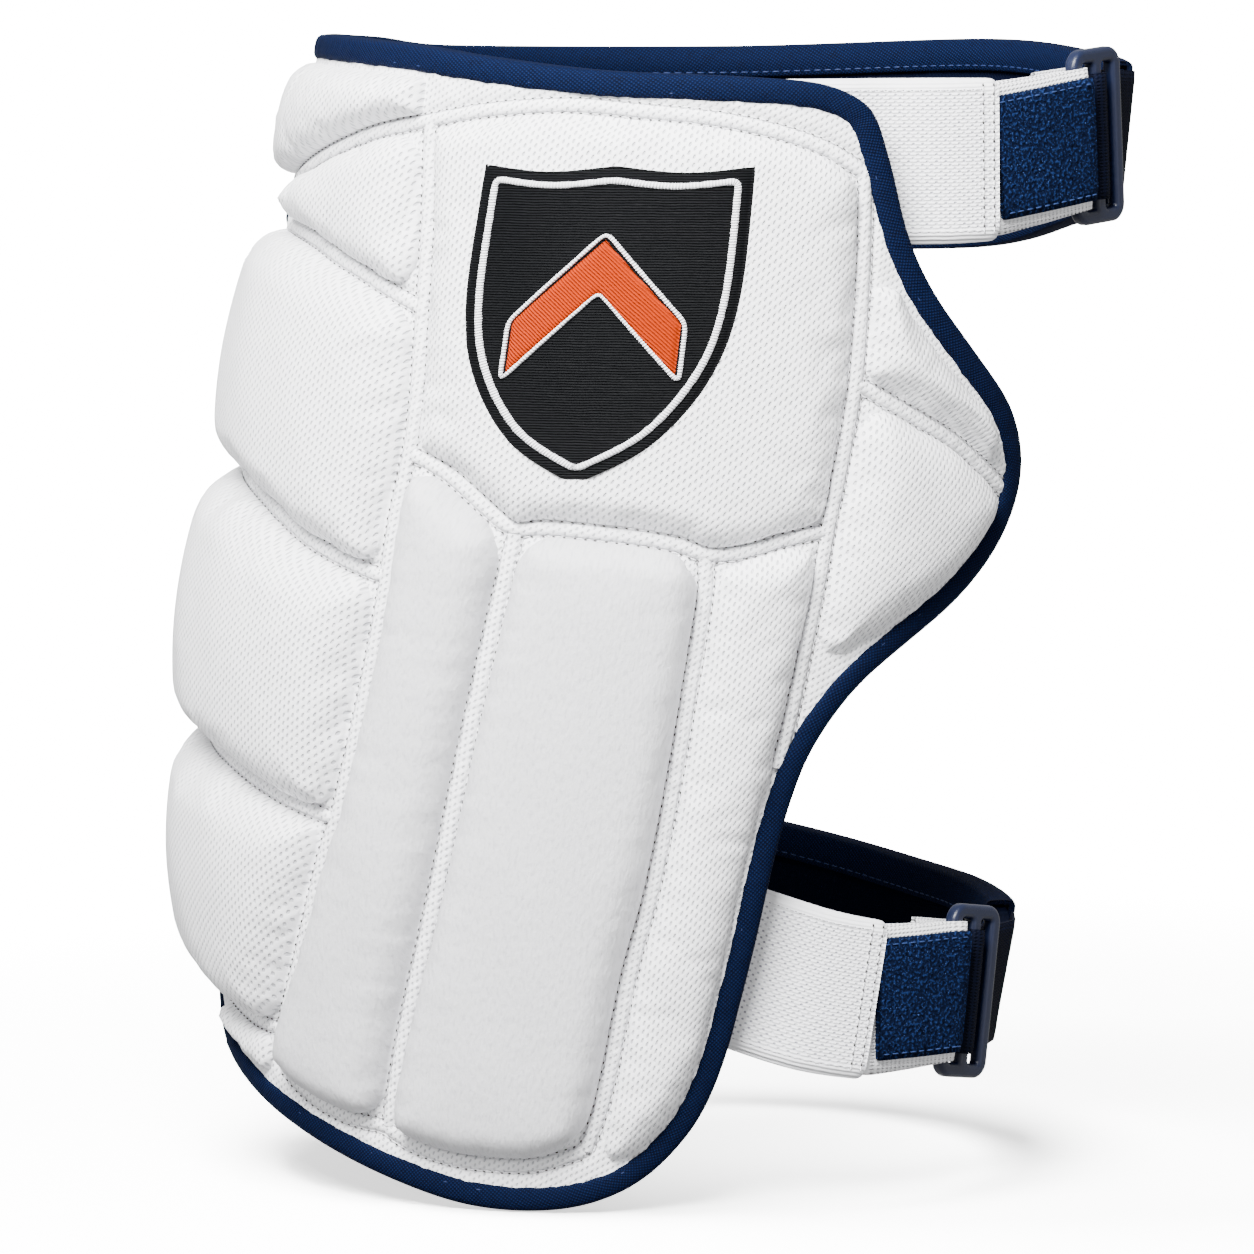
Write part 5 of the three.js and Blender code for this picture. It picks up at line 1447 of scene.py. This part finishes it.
def thread_line(name, path, width, height, base, replaces=()):
    """A raised line of satin thread along a closed flat path."""
    path = along(np.vstack([path, path[:1]]), np.linspace(0, 1, max(60, int(lengths(path)[-1]))))[:-1]
    for _ in range(3):
        path = (np.roll(path, 1, 0) + 2 * path + np.roll(path, -1, 0)) / 4
    after, before = np.roll(path, -1, 0), np.roll(path, 1, 0)
    side = unit(np.column_stack([before[:, 1] - after[:, 1], after[:, 0] - before[:, 0]]))
    section = [(-0.5, 0), (-0.42, 0.7), (-0.2, 1), (0.2, 1), (0.42, 0.7), (0.5, 0)]
    ragged = 1 + 0.06 * waves(np.arange(len(path)) * 1.0, 7, 2.2)
    rings = np.stack([
        on_pad(path + side * (d * width * ragged)[:, None], np.full(len(path), base + lift * height))
        for d, lift in section], 1)
    return loft_piece(name, rings, np.arange(len(path)), [d * width for d, _ in section], "white",
                      closed=True, slot="thread_white", replaces=replaces)


shield_ring = np.vstack([shield["bottom"][:1], shield["right"], shield["top"][::-1][1:],
                         shield["left"][::-1][1:-1]])
shield_middle = emblem_point(0, 0.03)
thread_line("emblem_inline", shield_middle + (shield_ring - shield_middle) * [0.885, 0.905],
            LINE_WIDTH, 1.1, 0.45, ["emblem_line"])
rise, thickness, foot = 0.26, 0.17, -0.16


def limb(lift):
    return np.array([
        emblem_point(-0.3, foot + lift), emblem_point(0, foot + rise + lift),
        emblem_point(0.3, foot + lift)])


chevron = {
    "bottom": limb(0), "top": limb(thickness),
    "left": between(limb(0)[0], limb(thickness)[0]), "right": between(limb(0)[2], limb(thickness)[2]),
}
emblem_layer(
    "emblem_mark", chevron, 61, 16, 0.75, 1.75, "orange", "thread_orange", "emblem_chevron", start=0.0)
chevron_ring = np.vstack([limb(0), limb(thickness)[::-1]])
chevron_middle = chevron_ring.mean(0)
thread_line("emblem_mark_line", chevron_middle + (chevron_ring - chevron_middle) * [1.05, 1.09],
            1.1, 1.0, 0.55)

# Stage, light and camera
floor_z = min(o.bound_box[k][2] for o in bpy.data.objects if o.type == "MESH" for k in range(8)) - 0.0002

sweep = [(-3.0, 0), (-1.0, 0), (0.0, 0), (1.0, 0)]
for a in np.linspace(0, 90, 14):
    sweep.append((1.0 + 1.2 * math.sin(math.radians(a)), 1.2 - 1.2 * math.cos(math.radians(a))))
sweep.append((2.2, 4.0))
points = [(x, y, floor_z + z) for y, z in sweep for x in (-4, 4)]
faces = [(2 * k, 2 * k + 1, 2 * k + 3, 2 * k + 2) for k in range(len(sweep) - 1)]
mesh = bpy.data.meshes.new("backdrop")
mesh.from_pydata(points, [], faces)
mesh.polygons.foreach_set("use_smooth", np.ones(len(mesh.polygons), bool))
backdrop = placed("backdrop", mesh)
paper = bpy.data.materials.new("paper")
paper.use_nodes = True
paper.node_tree.nodes["Principled BSDF"].inputs["Base Color"].default_value = (0.9, 0.9, 0.9, 1)
paper.node_tree.nodes["Principled BSDF"].inputs["Roughness"].default_value = 0.9
paper.node_tree.nodes["Principled BSDF"].inputs["Emission Color"].default_value = (1, 1, 1, 1)

# The paper glows more the further it lies from the object, so it is dimmer near the object: a painted shadow
# under it.
tree = paper.node_tree
geometry = tree.nodes.new("ShaderNodeNewGeometry")
reach = tree.nodes.new("ShaderNodeVectorMath")
reach.operation = "LENGTH"
tree.links.new(geometry.outputs["Position"], reach.inputs[0])
glow_painted_shadow = tree.nodes.new("ShaderNodeMapRange")
glow_painted_shadow.interpolation_type = "SMOOTHSTEP"
for socket, value in {"From Min": 0.2, "From Max": 0.85, "To Min": 1.3, "To Max": 12.5}.items():
    glow_painted_shadow.inputs[socket].default_value = value
tree.links.new(reach.outputs["Value"], glow_painted_shadow.inputs["Value"])
tree.links.new(glow_painted_shadow.outputs["Result"], tree.nodes["Principled BSDF"].inputs["Emission Strength"])
backdrop.visible_diffuse = False
backdrop.visible_glossy = False
mesh.materials.append(paper)

world = bpy.data.worlds.new("studio")
world.use_nodes = True
world.node_tree.nodes["Background"].inputs["Color"].default_value = (1, 1, 1, 1)
world.node_tree.nodes["Background"].inputs["Strength"].default_value = 0.75
bpy.context.scene.world = world


def area_light(name, place, target, size, watts):
    light = bpy.data.lights.new(name, "AREA")
    light.shape = "RECTANGLE"
    light.size, light.size_y = size
    light.energy = watts
    lamp = placed(name, light)
    lamp.location = place
    lamp.rotation_euler = (Vector(target) - Vector(place)).to_track_quat("-Z", "Y").to_euler()
    return lamp


key = area_light("key", (-0.22, -0.65, 0.68), (-0.01, -0.05, 0.15), (0.5, 0.5), 16)
key.data.spread = math.radians(90)
area_light("fill", (-1.6, -1.3, 0.5), (0, 0, 0), (1.0, 1.0), 14)
area_light("edge_fill", (1.3, -0.9, -0.1), (0.05, 0, 0), (0.8, 0.8), 4)
paper_light = area_light("paper_light", (-0.7, -0.3, 2.2), (0, 0, -0.15), (1.1, 1.1), 620)
only_paper = bpy.data.collections.new("only_paper")
only_paper.objects.link(backdrop)
paper_light.light_linking.receiver_collection = only_paper

camera_data = bpy.data.cameras.new("camera")
camera_data.lens = 206.7
camera_data.sensor_width = 36
camera_data.clip_end = 50
camera = placed("camera", camera_data)
target = Vector((-0.01083, 0, 0))
elevation = math.radians(6)
distance = 2.0
camera.location = target + distance * Vector((0, -math.cos(elevation), math.sin(elevation)))
camera.rotation_euler = (target - camera.location).to_track_quat("-Z", "Y").to_euler()
bpy.context.scene.camera = camera
